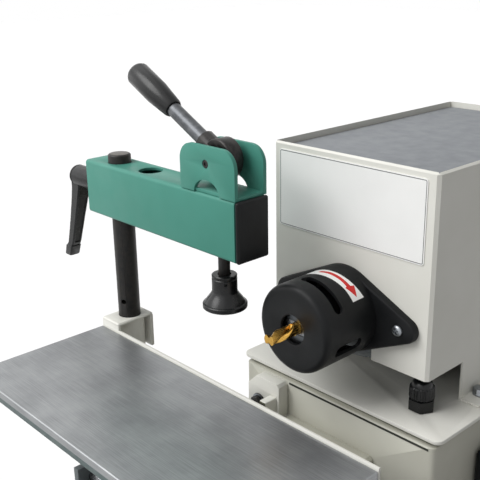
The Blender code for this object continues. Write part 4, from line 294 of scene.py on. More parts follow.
# Painted shade: a dark material for the shadowed groove under the housing's rim.
SHADE = moulded_plastic("painted shade of the rim groove", "#2E302C", "#3A3C37", 0.7, 1.5 * MM, 0.05 * MM, 0.2)
GOLD = worked_metal("gold titanium nitride", "#B98A3C", "#D3A956", 0.26, 1, 0.4 * MM)
WHITE = moulded_plastic("white printed label film", "#F1F1EF", "#F4F4F2", 0.4, 2 * MM, 0.01 * MM, 0.4)
INK = moulded_plastic("dark grey label ink", "#5A5C5E", "#646668", 0.4, 2 * MM, 0.005 * MM, 0.4)
RED_INK = moulded_plastic("red label ink", "#C9201E", "#D12A27", 0.4, 2 * MM, 0.005 * MM, 0.3)
RED = moulded_plastic("red moulded button", "#B4231C", "#BC2A22", 0.3, 1 * MM, 0.01 * MM, 0.5)
START = moulded_plastic("green moulded button", "#2B8A45", "#31924B", 0.3, 1 * MM, 0.01 * MM, 0.5)


# Shapes

FRONT_PLACE = Matrix(((1, 0, 0, 0), (0, 0, -1, 0), (0, 1, 0, 0), (0, 0, 0, 1)))
EDGE_STEPS = 2
MOST_CHANGE = 0.04
FLAT_ANGLE = math.radians(0.6)
WRAP_STEP = math.radians(3)


def shaped(name, shape, finish, body, nodes=(), smooth=SMOOTH_ANGLE):
    """Turn a bmesh into a finished piece that rides on a body and may stand for CAD nodes."""
    bmesh.ops.remove_doubles(shape, verts=shape.verts, dist=MM / 1000)
    bmesh.ops.recalc_face_normals(shape, faces=shape.faces)
    mesh = bpy.data.meshes.new(name)
    shape.to_mesh(mesh)
    shape.free()
    return dressed(name, mesh, finish, body, nodes, smooth)


def dressed(name, mesh, finish, body, nodes=(), smooth=SMOOTH_ANGLE):
    """Give a mesh its finish, shading, body and the nodes that it stands for."""
    mesh.name = name
    mesh.materials.clear()
    mesh.materials.append(finish)
    mesh.shade_smooth()
    mesh.set_sharp_from_angle(angle=smooth)
    piece = bpy.data.objects.new(name, mesh)
    bpy.context.scene.collection.objects.link(piece)
    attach(piece, body)
    if nodes:
        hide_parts(*nodes)
    return piece


def eased(mesh, width):
    """A mesh with its hard edges rounded."""
    carrier = bpy.data.objects.new("carrier", mesh)
    bpy.context.scene.collection.objects.link(carrier)
    bevel = carrier.modifiers.new("Edges", "BEVEL")
    bevel.width = width
    bevel.segments = EDGE_STEPS
    bevel.limit_method = "ANGLE"
    bevel.angle_limit = SMOOTH_ANGLE
    bevel.use_clamp_overlap = True
    bevel.miter_outer = "MITER_ARC"
    result = bpy.data.meshes.new_from_object(
        carrier.evaluated_get(bpy.context.evaluated_depsgraph_get()))
    bpy.data.objects.remove(carrier)
    return result


def fine_copy(node, finish, width):
    """The node's own shape, its edges eased where that leaves the shape whole."""
    source = frame["nodes"][node]
    shape = bmesh.new()
    shape.from_mesh(source.data)
    bmesh.ops.remove_doubles(shape, verts=shape.verts, dist=MM / 500)
    bmesh.ops.dissolve_limit(
        shape, angle_limit=FLAT_ANGLE, verts=shape.verts, edges=shape.edges)
    before = abs(shape.calc_volume())
    mesh = bpy.data.meshes.new(node)
    shape.to_mesh(mesh)
    shape.free()
    result = mesh
    if width:
        rounded = eased(mesh, width)
        test = bmesh.new()
        test.from_mesh(rounded)
        whole = all(edge.is_manifold for edge in test.edges)
        change = abs(abs(test.calc_volume()) - before) / before
        test.free()
        if whole and change < MOST_CHANGE:
            result = rounded
    return dressed(node + "_finished", result, finish, source["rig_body"], (node,))


def lathe(profile, start, direction, sides=64):
    """Spin a closed profile of (radius, distance) pairs about an axis."""
    axis = Vector(direction).normalized()
    place = Matrix.Translation(Vector(start)) @ axis.to_track_quat("Z", "Y").to_matrix().to_4x4()
    shape = bmesh.new()
    rings = []
    for radius, rise in profile:
        if radius < MM / 1000:
            rings.append([shape.verts.new(place @ Vector((0, 0, rise)))])
            continue
        rings.append([
            shape.verts.new(place @ Vector((
                radius * math.cos(FULL_TURN * k / sides), radius * math.sin(FULL_TURN * k / sides), rise)))
            for k in range(sides)])
    for first, second in zip(rings, rings[1:] + rings[:1]):
        if len(first) == 1 and len(second) == 1:
            continue
        for k in range(sides):
            nxt = (k + 1) % sides
            corners = [first[k % len(first)], first[nxt % len(first)],
                       second[nxt % len(second)], second[k % len(second)]]
            unique = []
            for corner in corners:
                if corner not in unique:
                    unique.append(corner)
            if len(unique) > 2:
                shape.faces.new(unique)
    return shape


def plate(outline, low, high, place, hole=None):
    """A flat plate between two heights of its own frame, from an outline and one hole."""
    shape = bmesh.new()
    loops = [outline] + ([hole] if hole else [])
    rings = [[[shape.verts.new(place @ Vector((x, y, rise))) for x, y in loop] for rise in (low, high)]
             for loop in loops]
    for lower, upper in rings:
        count = len(lower)
        for k in range(count):
            shape.faces.new([lower[k], lower[(k + 1) % count], upper[(k + 1) % count], upper[k]])
    if not hole:
        shape.faces.new(rings[0][0])
        shape.faces.new(rings[0][1])
        return shape
    for level in (0, 1):
        outer, inner = rings[0][level], rings[1][level]
        count = len(outer)
        for k in range(count):
            shape.faces.new([outer[k], outer[(k + 1) % count], inner[(k + 1) % count], inner[k]])
    return shape


def rounded_box(left, right, base, top, radius, steps=8):
    """A rounded rectangle's points, corner by corner."""
    points = []
    for x, y, turn in ((right, top, 0), (left, top, 1), (left, base, 2), (right, base, 3)):
        cx = x - radius if x == right else x + radius
        cy = y - radius if y == top else y + radius
        for k in range(steps + 1):
            angle = (turn + k / steps) * math.pi / 2
            points.append((cx + radius * math.cos(angle), cy + radius * math.sin(angle)))
    return points


def merged(first, second):
    """Add the second bmesh's faces to the first."""
    mesh = bpy.data.meshes.new("spare")
    second.to_mesh(mesh)
    second.free()
    first.from_mesh(mesh)
    bpy.data.meshes.remove(mesh)
    return first


def carved(shape, cutters, operation="DIFFERENCE"):
    """Cut each cutter bmesh out of a bmesh, or join it on, and give back the result."""
    meshes = []
    for item in (shape, *cutters):
        bmesh.ops.recalc_face_normals(item, faces=item.faces)
        mesh = bpy.data.meshes.new("spare")
        item.to_mesh(mesh)
        item.free()
        meshes.append(mesh)
    carrier = bpy.data.objects.new("carrier", meshes[0])
    bpy.context.scene.collection.objects.link(carrier)
    tools = []
    for mesh in meshes[1:]:
        tool = bpy.data.objects.new("tool", mesh)
        bpy.context.scene.collection.objects.link(tool)
        tools.append(tool)
        cut = carrier.modifiers.new("Cut", "BOOLEAN")
        cut.operation = operation
        cut.solver = "EXACT"
        cut.object = tool
    result = bmesh.new()
    made = bpy.data.meshes.new_from_object(carrier.evaluated_get(bpy.context.evaluated_depsgraph_get()))
    result.from_mesh(made)
    for spent in (carrier, *tools):
        bpy.data.objects.remove(spent)
    return result


def block(x, y, z):
    """A plain block between two corners, as a bmesh."""
    shape = bmesh.new()
    bmesh.ops.create_cube(shape, size=1.0)
    middle = Vector([(a + b) / 2 for a, b in (x, y, z)])
    scale = Matrix.Diagonal((x[1] - x[0], y[1] - y[0], z[1] - z[0], 1.0))
    bmesh.ops.transform(shape, matrix=Matrix.Translation(middle) @ scale, verts=shape.verts)
    return shape


def wrapped(outline, radius, thickness):
    """A thin patch laid on the guard: its outline is in (angle, y), wrapped round the spindle axis."""
    shape = bmesh.new()
    shape.faces.new([shape.verts.new((angle, y, 0)) for angle, y in outline])
    first = min(angle for angle, y in outline)
    last = max(angle for angle, y in outline)
    place = first + WRAP_STEP
    while place < last:
        bmesh.ops.bisect_plane(
            shape, geom=shape.verts[:] + shape.edges[:] + shape.faces[:],
            plane_co=(place, 0, 0), plane_no=(1, 0, 0))
        place += WRAP_STEP
    grown = bmesh.ops.extrude_face_region(shape, geom=shape.faces[:])
    for item in grown["geom"]:
        if isinstance(item, bmesh.types.BMVert):
            item.co.z = thickness
    for vert in shape.verts:
        angle, y, rise = vert.co
        reach = radius + rise
        vert.co = (reach * math.cos(angle), y, SPINDLE_HEIGHT + reach * math.sin(angle))
    return shape


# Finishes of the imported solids, each with its edge rounding in millimetres

FINISHES = {
    # Painted shade: the housing's darker beige and the gasket's olive stand for shade, not for their own
    # colours.
    "base_floor": (BEIGE, 0.6), "base_housing": (BEIGE_WITH_PAINTED_SHADE, 0), "base_gasket": (RECESS, 0),
    "base_top_plate": (BEIGE, 0.5), "motor_cover": (BEIGE, 0), "tray_mat": (MAT, 0.3),
    "cover_bolt_left": (ZINC, 0.3), "cover_bolt_right": (ZINC, 0.3), "motor_lead": (RUBBER, 0),
    "guide_hood": (BEIGE, 0.5), "stop_bar": (BEIGE, 0.4), "column_left": (BRIGHT, 0),
    "column_right": (BRIGHT, 0), "lift_screw": (BRIGHT, 0), "switch_box": (BLACK, 0.5),
    "chuck_body": (DARK_STEEL, 0.4), "jaw_left": (JAW_STEEL, 0.2), "jaw_right": (JAW_STEEL, 0.2),
    "start_button": (START, 0.5), "stop_button": (RED, 0.5), "knee": (CASTING, 0.6),
    "depth_rod_left": (BRIGHT, 0), "depth_rod_right": (BRIGHT, 0), "lift_nut": (ZINC, 0.3),
    "lift_handwheel": (BLACK, 0.5), "depth_lever": (DARK_STEEL, 0.4), "depth_carriage": (CASTING, 0.6),
    "travel_rod_front": (BRIGHT, 0), "travel_rod_back": (BRIGHT, 0), "travel_lever": (DARK_STEEL, 0.4),
    "table_top": (TABLE, 0), "table_saddle": (CASTING, 0.5), "post_bracket": (BEIGE, 0.8),
    "clamp_post": (BURNISHED, 0.3), "clamp_arm": (GREEN, 0.3), "arm_end_cap": (BLACK, 0.5),
    "cam_saddle": (GREEN, 0.5), "cam_hub": (CAM_STEEL, 0.6), "lever_rod": (ROD_STEEL, 0),
    "lever_grip": (GLOSSY_BLACK, 0), "plunger_rod": (BURNISHED, 0.3), "lock_stud": (BRIGHT, 0.3),
}
HIDDEN = {
    "motor_body": MOTOR, "motor_front_bell": MOTOR, "motor_back_bell": MOTOR, "fan_cover": MOTOR,
    "terminal_box": BLACK, "spindle_shaft": BRIGHT, "motor_fan": BLACK}

for node_name, (coat, edge) in FINISHES.items():
    fine_copy(node_name, coat, edge * MM)
for node_name, coat in HIDDEN.items():
    inner = frame["nodes"][node_name]
    inner.data.materials.clear()
    inner.data.materials.append(coat)


# Return spring in the arm: it rides on the arm

return_spring = dressed(
    "return_spring", frame["nodes"]["plunger_spring"].data.copy(), BRIGHT, "arm",
    ("plunger_spring",))
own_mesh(return_spring)


# Clamping lever at the arm's left end: a zinc casting with a hub, a flat grip and a stepped tip

HUB_PLACE = (-0.2866, POST_Y, 0.40235)
HUB_RADIUS = 12.3 * MM
HUB_LENGTH = 54.2 * MM
GRIP_CHAMFER = 1.6 * MM
POCKET_OUT = 1.2 * MM
POCKET_HALF = 2.4 * MM
POCKET_RIM = 2.8 * MM
POCKET_CHAMFER = 0.5 * MM


def lever_section(centre, across, deep, chamfer):
    """Eight corners of a chamfered rectangle at one height."""
    x, y, z = centre
    corners = []
    for side_x, side_y in ((1, 1), (-1, 1), (-1, -1), (1, -1)):
        first = (x + side_x * across, y + side_y * (deep - chamfer), z)
        second = (x + side_x * (across - chamfer), y + side_y * deep, z)
        corners.extend([first, second] if side_x == side_y else [second, first])
    return corners


def lofted(sections):
    """Skin a row of sections with the same number of corners."""
    shape = bmesh.new()
    rings = [[shape.verts.new(corner) for corner in section] for section in sections]
    for first, second in zip(rings, rings[1:]):
        for k in range(len(first)):
            nxt = (k + 1) % len(first)
            shape.faces.new([first[k], first[nxt], second[nxt], second[k]])
    shape.faces.new(rings[0])
    shape.faces.new(rings[-1])
    return shape


def clamping_lever():
    """The turned hub, and the grip lofted along its path with a pocket in its outer face."""
    hub = lathe([
        (0, 0), (9.4 * MM, 0), (10.4 * MM, 1.0 * MM), (10.8 * MM, 10 * MM), (HUB_RADIUS, 26 * MM),
        (HUB_RADIUS, 46.5 * MM), (11.6 * MM, 47.2 * MM), (11.6 * MM, 48.2 * MM), (HUB_RADIUS, 48.9 * MM),
        (11.9 * MM, 50.6 * MM), (10.2 * MM, 52.4 * MM), (7.0 * MM, 53.6 * MM), (3.5 * MM, HUB_LENGTH),
        (0, HUB_LENGTH)], HUB_PLACE, (-1, 0, 0), 48)
    x, y, z = HUB_PLACE
    path = [(-0.3315, -4, 8.6, 9.2), (-0.3325, -13, 8.2, 8.8), (-0.3375, -28, 7.4, 8.0),
            (-0.3455, -52, 6.6, 7.2), (-0.3515, -70, 6.2, 6.8), (-0.3578, -88, 5.9, 6.4),
            (-0.3610, -92.2, 5.9, 6.4), (-0.3614, -92.8, 6.8, 7.2), (-0.3655, -104.6, 6.5, 6.9),
            (-0.3660, -106.0, 5.6, 6.0)]
    grip = lofted([
        lever_section((px, y, z + drop * MM), across * MM, deep * MM, GRIP_CHAMFER)
        for px, drop, across, deep in path])
    bmesh.ops.recalc_face_normals(grip, faces=grip.faces)
    pocket = lofted([
        lever_section(
            (px + across * MM + POCKET_OUT, y, z + drop * MM), POCKET_HALF, deep * MM - POCKET_RIM,
            POCKET_CHAMFER)
        for px, drop, across, deep in path[2:6]])
    grip = carved(grip, [pocket])
    return merged(hub, grip)


shaped("clamping_lever", clamping_lever(), GLOSSY_BLACK, "lock", ("lock_lever",))


# Swivel foot of the plunger, with its collar, relief ring and cross hole

FOOT_PLACE = (-0.081, POST_Y, 0.3129)
CROSS_HOLE_RISE = 27.5 * MM
CROSS_HOLE_START = 10.2 * MM
CROSS_HOLE_RADIUS = 1.7 * MM
CROSS_HOLE_DEPTH = 5 * MM


def swivel_foot():
    """A turned foot with a blind cross hole in its collar."""
    profile = [
        (0, 0), (21.6, 0), (22.4, 0.8), (22.4, 4.4), (21.8, 5.2), (20.6, 5.6), (19.6, 7.2), (17.6, 10.2),
        (15.2, 13.2), (13.4, 16.0), (12.7, 17.6), (12.7, 30.4), (12.1, 31.0), (12.1, 31.8), (12.7, 32.4),
        (12.7, 34.2), (11.9, 34.9), (6.9, 34.9), (6.9, 7.0), (0, 7.0)]
    body = lathe([(radius * MM, rise * MM) for radius, rise in profile], FOOT_PLACE, (0, 0, 1), 56)
    x, y, z = FOOT_PLACE
    aim = Vector((0.80, -0.60, 0))
    start = Vector((x, y, z + CROSS_HOLE_RISE)) + aim * CROSS_HOLE_START
    bore = lathe([(0, 0), (CROSS_HOLE_RADIUS, 0), (CROSS_HOLE_RADIUS, CROSS_HOLE_DEPTH),
                  (0, CROSS_HOLE_DEPTH)], start, aim, 20)
    return carved(body, [bore])


shaped("swivel_foot", swivel_foot(), GLOSSY_BLACK, "foot", ("plunger_foot",))


# Cross-head screws of the guard

HEAD_HEIGHT = 3.2 * MM
RECESS_HALF_LENGTH = 3.1 * MM
RECESS_HALF_WIDTH = 0.7 * MM
RECESS_START = 1.5 * MM
RECESS_CUT = 2.4 * MM
RECESS_TURNS = (20, 110)
THREAD_RADIUS = 2.4 * MM
THREAD_LENGTH = 6 * MM
THREAD_GAP = 0.02 * MM


def cross_screw(name, node):
    """A domed head with a cross recess, and its thread."""
    low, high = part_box(node)
    x, z = (low.x + high.x) / 2, (low.z + high.z) / 2
    base = low.y + HEAD_HEIGHT
    head = lathe([
        (0, 0), (5.4 * MM, 0), (5.4 * MM, 0.9 * MM), (5.0 * MM, 1.9 * MM), (4.0 * MM, 2.7 * MM),
        (2.6 * MM, 3.1 * MM), (0, HEAD_HEIGHT)], (x, base, z), (0, -1, 0), 40)
    arms = []
    for turn in RECESS_TURNS:
        arm = block((-RECESS_HALF_LENGTH, RECESS_HALF_LENGTH), (-RECESS_HALF_WIDTH, RECESS_HALF_WIDTH),
                    (0, RECESS_CUT))
        place = Matrix.Translation((x, base - RECESS_START, z)) @ FRONT_PLACE @ Matrix.Rotation(
            math.radians(turn), 4, "Z")
        bmesh.ops.transform(arm, matrix=place, verts=arm.verts)
        arms.append(arm)
    head = carved(head, arms)
    thread = lathe([(0, 0), (THREAD_RADIUS, 0), (THREAD_RADIUS, THREAD_LENGTH), (0, THREAD_LENGTH)],
                   (x, base + THREAD_GAP, z), (0, 1, 0), 20)
    shaped(name, merged(head, thread), ZINC, "base", (node,))


cross_screw("guard_screw_left_finished", "guard_screw_left")
cross_screw("guard_screw_right_finished", "guard_screw_right")


# Cable gland: a hex body, a fluted clamping nut and its domed end

GLAND_X = 0.0815
GLAND_Y = 0.0204
PLATE_TOP = 0.2210
HEX_RADIUS = 13.6 * MM
HEX_BASE = PLATE_TOP + 0.3 * MM
HEX_TOP = PLATE_TOP + 12.4 * MM
HEX_EDGE = 0.9 * MM
NUT_BASE = PLATE_TOP + 12.9 * MM
FLUTES = 24
FLUTE_DEPTH = 0.7 * MM


def hexagon(radius, low, high, edge):
    """A hexagonal nut with its corners turned off."""
    count = 6
    outline = [(radius * math.cos(FULL_TURN * k / count), radius * math.sin(FULL_TURN * k / count))
               for k in range(count)]
    cut_back = (radius - edge) / radius
    sections = []
    for rise, share in ((low, cut_back), (low + edge * 0.6, 1), (high - edge * 0.6, 1), (high, cut_back)):
        sections.append([(GLAND_X + x * share, GLAND_Y + y * share, rise) for x, y in outline])
    return lofted(sections)


def gland_nut():
    """The fluted nut, lofted from toothed rings, with its dome."""
    sections = []
    for rise, radius in ((0, 11.6), (0.8, 12.6), (11.5, 12.2), (12.4, 11.2)):
        ring = []
        for k in range(FLUTES * 4):
            reach = radius * MM if k % 4 < 2 else radius * MM - FLUTE_DEPTH
            angle = FULL_TURN * k / (FLUTES * 4)
            ring.append((GLAND_X + reach * math.cos(angle), GLAND_Y + reach * math.sin(angle),
                         NUT_BASE + rise * MM))
        sections.append(ring)
    dome = lathe([
        (0, 0), (10.6 * MM, 0), (10.4 * MM, 1.8 * MM), (9.4 * MM, 4.2 * MM), (7.6 * MM, 6.0 * MM),
        (6.0 * MM, 6.6 * MM), (5.5 * MM, 6.2 * MM), (0, 6.2 * MM)],
        (GLAND_X, GLAND_Y, NUT_BASE + 12.3 * MM), (0, 0, 1), 40)
    return merged(lofted(sections), dome)


shaped(
    "gland_body_finished", hexagon(HEX_RADIUS, HEX_BASE, HEX_TOP, HEX_EDGE),
    GLOSSY_BLACK, "base", ("gland_body",))
shaped("gland_nut_finished", gland_nut(), GLOSSY_BLACK, "base", ("gland_nut",))


# Two-flute slot bit, ground and gold coated

BIT_TIP = -0.1076
BIT_RADIUS = 6.0 * MM
FLUTED = 31.0 * MM
BIT_TURN = math.radians(200)
CORE_SHARE = 0.42
LAND_START = 0.22
LAND_SPREAD = 0.50
RUN_OUT_START = 0.93
RUN_OUT_RISE = 0.45
SHANK_LENGTH = 22.6 * MM
SHANK_EDGE = 0.6 * MM
SHANK_OVERLAP = 0.01 * MM


def slot_bit():
    """Two twisted lands on a core that thickens where the flutes run out, then the plain shank."""
    points = 48
    steps = 64
    sections = []
    for step in range(steps + 1):
        share = step / steps
        ring = []
        ease = RUN_OUT_RISE if share > RUN_OUT_START else 0.0
        for k in range(points):
            angle = FULL_TURN * k / points
            lobe = min(max((abs(math.cos(angle)) - LAND_START) / LAND_SPREAD, 0.0), 1.0)
            smooth = lobe * lobe * (3 - 2 * lobe)
            floor_share = CORE_SHARE + ease * (share - RUN_OUT_START) / (1 - RUN_OUT_START)
            reach = BIT_RADIUS * min(floor_share + (1 - floor_share) * smooth, 1.0)
            turned = angle + BIT_TURN * share
            ring.append((reach * math.cos(turned), BIT_TIP + FLUTED * share,
                         SPINDLE_HEIGHT + reach * math.sin(turned)))
        sections.append(ring)
    fluted = lofted(sections)
    shank = lathe([
        (0, 0), (BIT_RADIUS, 0), (BIT_RADIUS, SHANK_LENGTH - SHANK_EDGE),
        (BIT_RADIUS - SHANK_EDGE, SHANK_LENGTH), (0, SHANK_LENGTH)],
        (0, BIT_TIP + FLUTED - SHANK_OVERLAP, SPINDLE_HEIGHT), (0, 1, 0), 40)
    return merged(fluted, shank)


shaped("slot_bit", slot_bit(), GOLD, "spindle", ("mortise_bit",))


# Plain spring pin that the cam turns on, set a little below the ears

def spring_pin():
    """A turned pin with eased ends and a hollow front face."""
    low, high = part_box("pivot_pin")
    x, z = (low.x + high.x) / 2, (low.z + high.z) / 2
    front, back = low.y + 2.9 * MM, high.y - 0.4 * MM
    length = back - front
    return lathe([
        (0, 0.9 * MM), (1.9 * MM, 0.9 * MM), (1.9 * MM, 0), (3.3 * MM, 0), (3.95 * MM, 0.5 * MM),
        (3.95 * MM, length - 0.5 * MM), (3.3 * MM, length), (0, length)], (x, front, z), (0, 1, 0), 32)


shaped("spring_pin", spring_pin(), BURNISHED, "arm", ("pivot_pin",))


# Moulded chuck guard: a cup with rounded front edge on a two-eared flange, vented by two slots

GUARD_BACK = -0.0003
GUARD_LENGTH = 77.0 * MM
GUARD_WALL = 3.2 * MM
GUARD_EDGE = 6.5 * MM
GUARD_MOUTH = 14.5 * MM
FLANGE_THICKNESS = 8.0 * MM
FLANGE_ROUND = 45.0 * MM
FLANGE_LOBE = 12.0 * MM
FLANGE_REACH = 76.0 * MM
FLANGE_EDGE = 2.2 * MM
SCREW_REACH = 70.0 * MM
SCREW_HOLE = 3.0 * MM
SCREW_HOLE_DEPTH = 12 * MM
OVERRUN = 2 * MM
VENT_CUT = 8 * MM
# Each vent: its first and last angle in degrees, its front and back in millimetres, its corner radius
TOP_VENT = (29, 101, -59.5, -48.5, 5.2 * MM)
SIDE_VENT = (-28, -12, -62, -27, 4.5 * MM)
GUARD_SMOOTH = math.radians(28)


def on_guard(points):
    """Degrees round the guard and millimetres along it, as angle and place."""
    return [(math.radians(angle), y * MM) for angle, y in points]


def flange_section(distance, inset):
    """Two small circles and a large one between them, joined by their tangents."""
    tangent = math.acos((FLANGE_ROUND - FLANGE_LOBE) / FLANGE_REACH)
    arcs = [(FLANGE_REACH, FLANGE_LOBE, -tangent, tangent, 16),
            (0, FLANGE_ROUND, tangent, math.pi - tangent, 20),
            (-FLANGE_REACH, FLANGE_LOBE, math.pi - tangent, math.pi + tangent, 16),
            (0, FLANGE_ROUND, math.pi + tangent, math.pi * 2 - tangent, 20)]
    points = []
    for centre, radius, first, last, steps in arcs:
        for step in range(steps + 1):
            angle = first + (last - first) * step / steps
            reach = radius - inset
            points.append((centre + reach * math.cos(angle), GUARD_BACK - distance,
                           SPINDLE_HEIGHT + reach * math.sin(angle)))
    return points


def slot_outline(first, last, front, back, corner):
    """A slot with round corners, as angles in degrees and places in millimetres."""
    degrees = math.degrees(corner / GUARD_RADIUS)
    half = corner / MM
    points = []
    for middle_angle, middle_y, turn in (
            (last - degrees, back - half, 0), (first + degrees, back - half, 1),
            (first + degrees, front + half, 2), (last - degrees, front + half, 3)):
        for step in range(7):
            angle = (turn + step / 6) * math.pi / 2
            points.append((middle_angle + degrees * math.cos(angle), middle_y + half * math.sin(angle)))
    return on_guard(points)


def moulded_guard():
    """The cup joined to its flange, then hollowed and cut by the vents and the screw holes."""
    edge = [(GUARD_RADIUS - GUARD_EDGE * (1 - math.cos(angle)),
             GUARD_LENGTH - GUARD_EDGE * (1 - math.sin(angle)))
            for angle in (math.pi / 2 * step / 8 for step in range(9))]
    start = FLANGE_THICKNESS / 2
    cup = lathe([(0, start), (GUARD_RADIUS, start), *edge, (0, GUARD_LENGTH)],
                (0, GUARD_BACK, SPINDLE_HEIGHT), (0, -1, 0), 112)
    flange = lofted([flange_section(0, 0), flange_section(FLANGE_THICKNESS - FLANGE_EDGE, 0),
                     flange_section(FLANGE_THICKNESS - FLANGE_EDGE * 0.3, FLANGE_EDGE * 0.35),
                     flange_section(FLANGE_THICKNESS, FLANGE_EDGE)])
    body = carved(cup, [flange], "UNION")
    bore = GUARD_RADIUS - GUARD_WALL
    deep = GUARD_LENGTH - GUARD_WALL
    cavity = lathe([
        (0, -OVERRUN), (bore, -OVERRUN), (bore, deep - 4 * MM), (bore - 1.2 * MM, deep - 1.2 * MM),
        (bore - 4 * MM, deep), (GUARD_MOUTH, deep), (GUARD_MOUTH, GUARD_LENGTH - 1.6 * MM),
        (GUARD_MOUTH + 0.5 * MM, GUARD_LENGTH - 0.5 * MM),
        (GUARD_MOUTH + 1.6 * MM, GUARD_LENGTH + 0.02 * MM),
        (GUARD_MOUTH + 1.6 * MM, GUARD_LENGTH + OVERRUN), (0, GUARD_LENGTH + OVERRUN)],
        (0, GUARD_BACK, SPINDLE_HEIGHT), (0, -1, 0), 96)
    cutters = [wrapped(slot_outline(*vent), GUARD_RADIUS - VENT_CUT, VENT_CUT * 2)
               for vent in (TOP_VENT, SIDE_VENT)]
    for side in (-1, 1):
        cutters.append(lathe(
            [(0, -OVERRUN), (SCREW_HOLE, -OVERRUN), (SCREW_HOLE, SCREW_HOLE_DEPTH), (0, SCREW_HOLE_DEPTH)],
            (side * SCREW_REACH, GUARD_BACK, SPINDLE_HEIGHT), (0, -1, 0), 24))
    cutters.append(cavity)
    for cutter in cutters:
        bmesh.ops.triangulate(cutter, faces=cutter.faces[:])
    return carved(body, cutters)


shaped("moulded_guard", moulded_guard(), GUARD_BLACK, "base", ("chuck_guard",),
       GUARD_SMOOTH)


# Nut, washer and stud of the hood

HOOD_FACE = -0.0343
NUT_PLACE = (-0.0900, HOOD_FACE, 0.1800)
NUT_REACH = 7.8 * MM
NUT_START = 0.3
STUD_RADIUS = 3.5 * MM
STUD_LENGTH = 9.0 * MM


def hood_fastener():
    """Washer, hexagon nut and stud end in one piece."""
    x, y, z = NUT_PLACE
    washer = lathe([
        (3.6 * MM, 0), (9.6 * MM, 0), (9.6 * MM, 0.9 * MM), (9.2 * MM, 1.3 * MM), (3.6 * MM, 1.3 * MM)],
        NUT_PLACE, (0, -1, 0), 48)
    sections = []
    for rise, share in ((1.4, 0.94), (1.9, 1.0), (6.6, 1.0), (7.2, 0.93)):
        ring = []
        for k in range(6):
            angle = FULL_TURN * (k + NUT_START) / 6
            reach = NUT_REACH * share
            ring.append((x + reach * math.cos(angle), y - rise * MM, z + reach * math.sin(angle)))
        sections.append(ring)
    stud = lathe([(0, 0.5 * MM), (STUD_RADIUS, 0.5 * MM), (STUD_RADIUS, 8.4 * MM), (2.8 * MM, STUD_LENGTH),
                  (0, STUD_LENGTH)], NUT_PLACE, (0, -1, 0), 32)
    return merged(merged(washer, lofted(sections)), stud)


shaped("hood_nut_finished", hood_fastener(), BURNISHED, "base", ("hood_nut",))
WASHER_INNER, WASHER_OUTER = 7.2 * MM, 9.2 * MM
FACE_LOW, FACE_HIGH = 1.32 * MM, 1.42 * MM
shaped(
    "hood_washer_face", lathe([
        (WASHER_INNER, FACE_LOW), (WASHER_OUTER, FACE_LOW), (WASHER_OUTER, FACE_HIGH),
        (WASHER_INNER, FACE_HIGH)], NUT_PLACE, (0, -1, 0), 48),
    ZINC, "base")


# Painted shade: a dark strip along the top of the housing's front stands for the shadow in the groove
# under its rim

RIM_FACE = -0.0203
RIM_SHADE_BOX = ((-0.058, 0.119), (RIM_FACE - 0.3 * MM, RIM_FACE + 0.5 * MM), (0.2080, 0.2100))
shaped("housing_rim_painted_shade", block(*RIM_SHADE_BOX), SHADE, "base")


# Dark faced tip of the stop bar

TIP_FRAME = ((-0.0729, -0.0646), (-0.05025, -0.0497), (0.1774, 0.1936))
TIP_PAD = ((-0.0716, -0.0659), (-0.05055, -0.0502), (0.1792, 0.1918))
shaped("stop_bar_tip", block(*TIP_FRAME), RECESS, "base")
shaped("stop_bar_pad", block(*TIP_PAD), BLACK, "base")


# Worn top of the clamp post

POST_X = -0.2493
POST_TOP = 0.4418
END_SINK = 0.05 * MM
END_RISE = 0.2 * MM
shaped(
    "post_top_face", lathe([
        (0, 0), (10.2 * MM, 0), (10.4 * MM, 0.05 * MM), (10.4 * MM, 0.12 * MM), (10.0 * MM, END_RISE),
        (0, END_RISE)], (POST_X, POST_Y, POST_TOP - END_SINK), (0, 0, 1), 48),
    POST_END, "post")


# The bare label plate on the cover's front

LABEL = (-0.091, 0.089, 0.377, 0.4573)
LABEL_CORNER = 3.0 * MM
LABEL_PLATE = 0.8 * MM
LINE_INSET = 1.0 * MM
LINE_WIDTH = 0.7 * MM
INK_HEIGHT = 0.06 * MM
LABEL_GAP = 0.05 * MM
LEAST_CORNER = 0.4 * MM


def inset_box(by):
    """The label's rounded outline, set in from its edge."""
    left, right, base, top = LABEL
    return rounded_box(left + by, right - by, base + by, top - by, max(LABEL_CORNER - by, LEAST_CORNER))


shaped(
    "label_plate", plate(inset_box(0), LABEL_GAP, LABEL_PLATE, FRONT_PLACE), WHITE, "base")
shaped(
    "label_line", plate(inset_box(LINE_INSET), LABEL_PLATE, LABEL_PLATE + INK_HEIGHT, FRONT_PLACE,
                        inset_box(LINE_INSET + LINE_WIDTH)), INK, "base")


# The guard's direction sign: a white strip with a plain arrow

STRIP_THICKNESS = 0.15 * MM
STRIP_RADIUS = GUARD_RADIUS + 0.02 * MM
STRIP = [(35.5, -32.8), (53, -33.2), (70, -34.9), (91, -37.5), (112, -40.0), (112, -26.0), (101, -23.5),
         (84, -22.2), (68, -20.9), (53, -19.2), (36, -17.2)]
ARROW = [(100, -32.6), (87, -30.2), (68.5, -29.0), (56.5, -29.0), (55.4, -31.6), (39.4, -25.6),
         (54.1, -20.0), (55.6, -24.4), (75, -25.0), (88, -26.0), (100, -28.6)]

shaped(
    "guard_strip", wrapped(on_guard(STRIP), STRIP_RADIUS, STRIP_THICKNESS),
    WHITE, "base")
shaped(
    "guard_arrow", wrapped(on_guard(ARROW), STRIP_RADIUS + STRIP_THICKNESS, INK_HEIGHT),
    RED_INK, "base")


# Floor, light and camera

FLOOR_SIZE = 8.0
FLOOR_GAP = 0.1 * MM
KEY_POWER, KEY_SPREAD = 2.1, 40
FILL_POWER, FILL_SPREAD = 1.6, 115
ROOM_LEVEL = 0.22


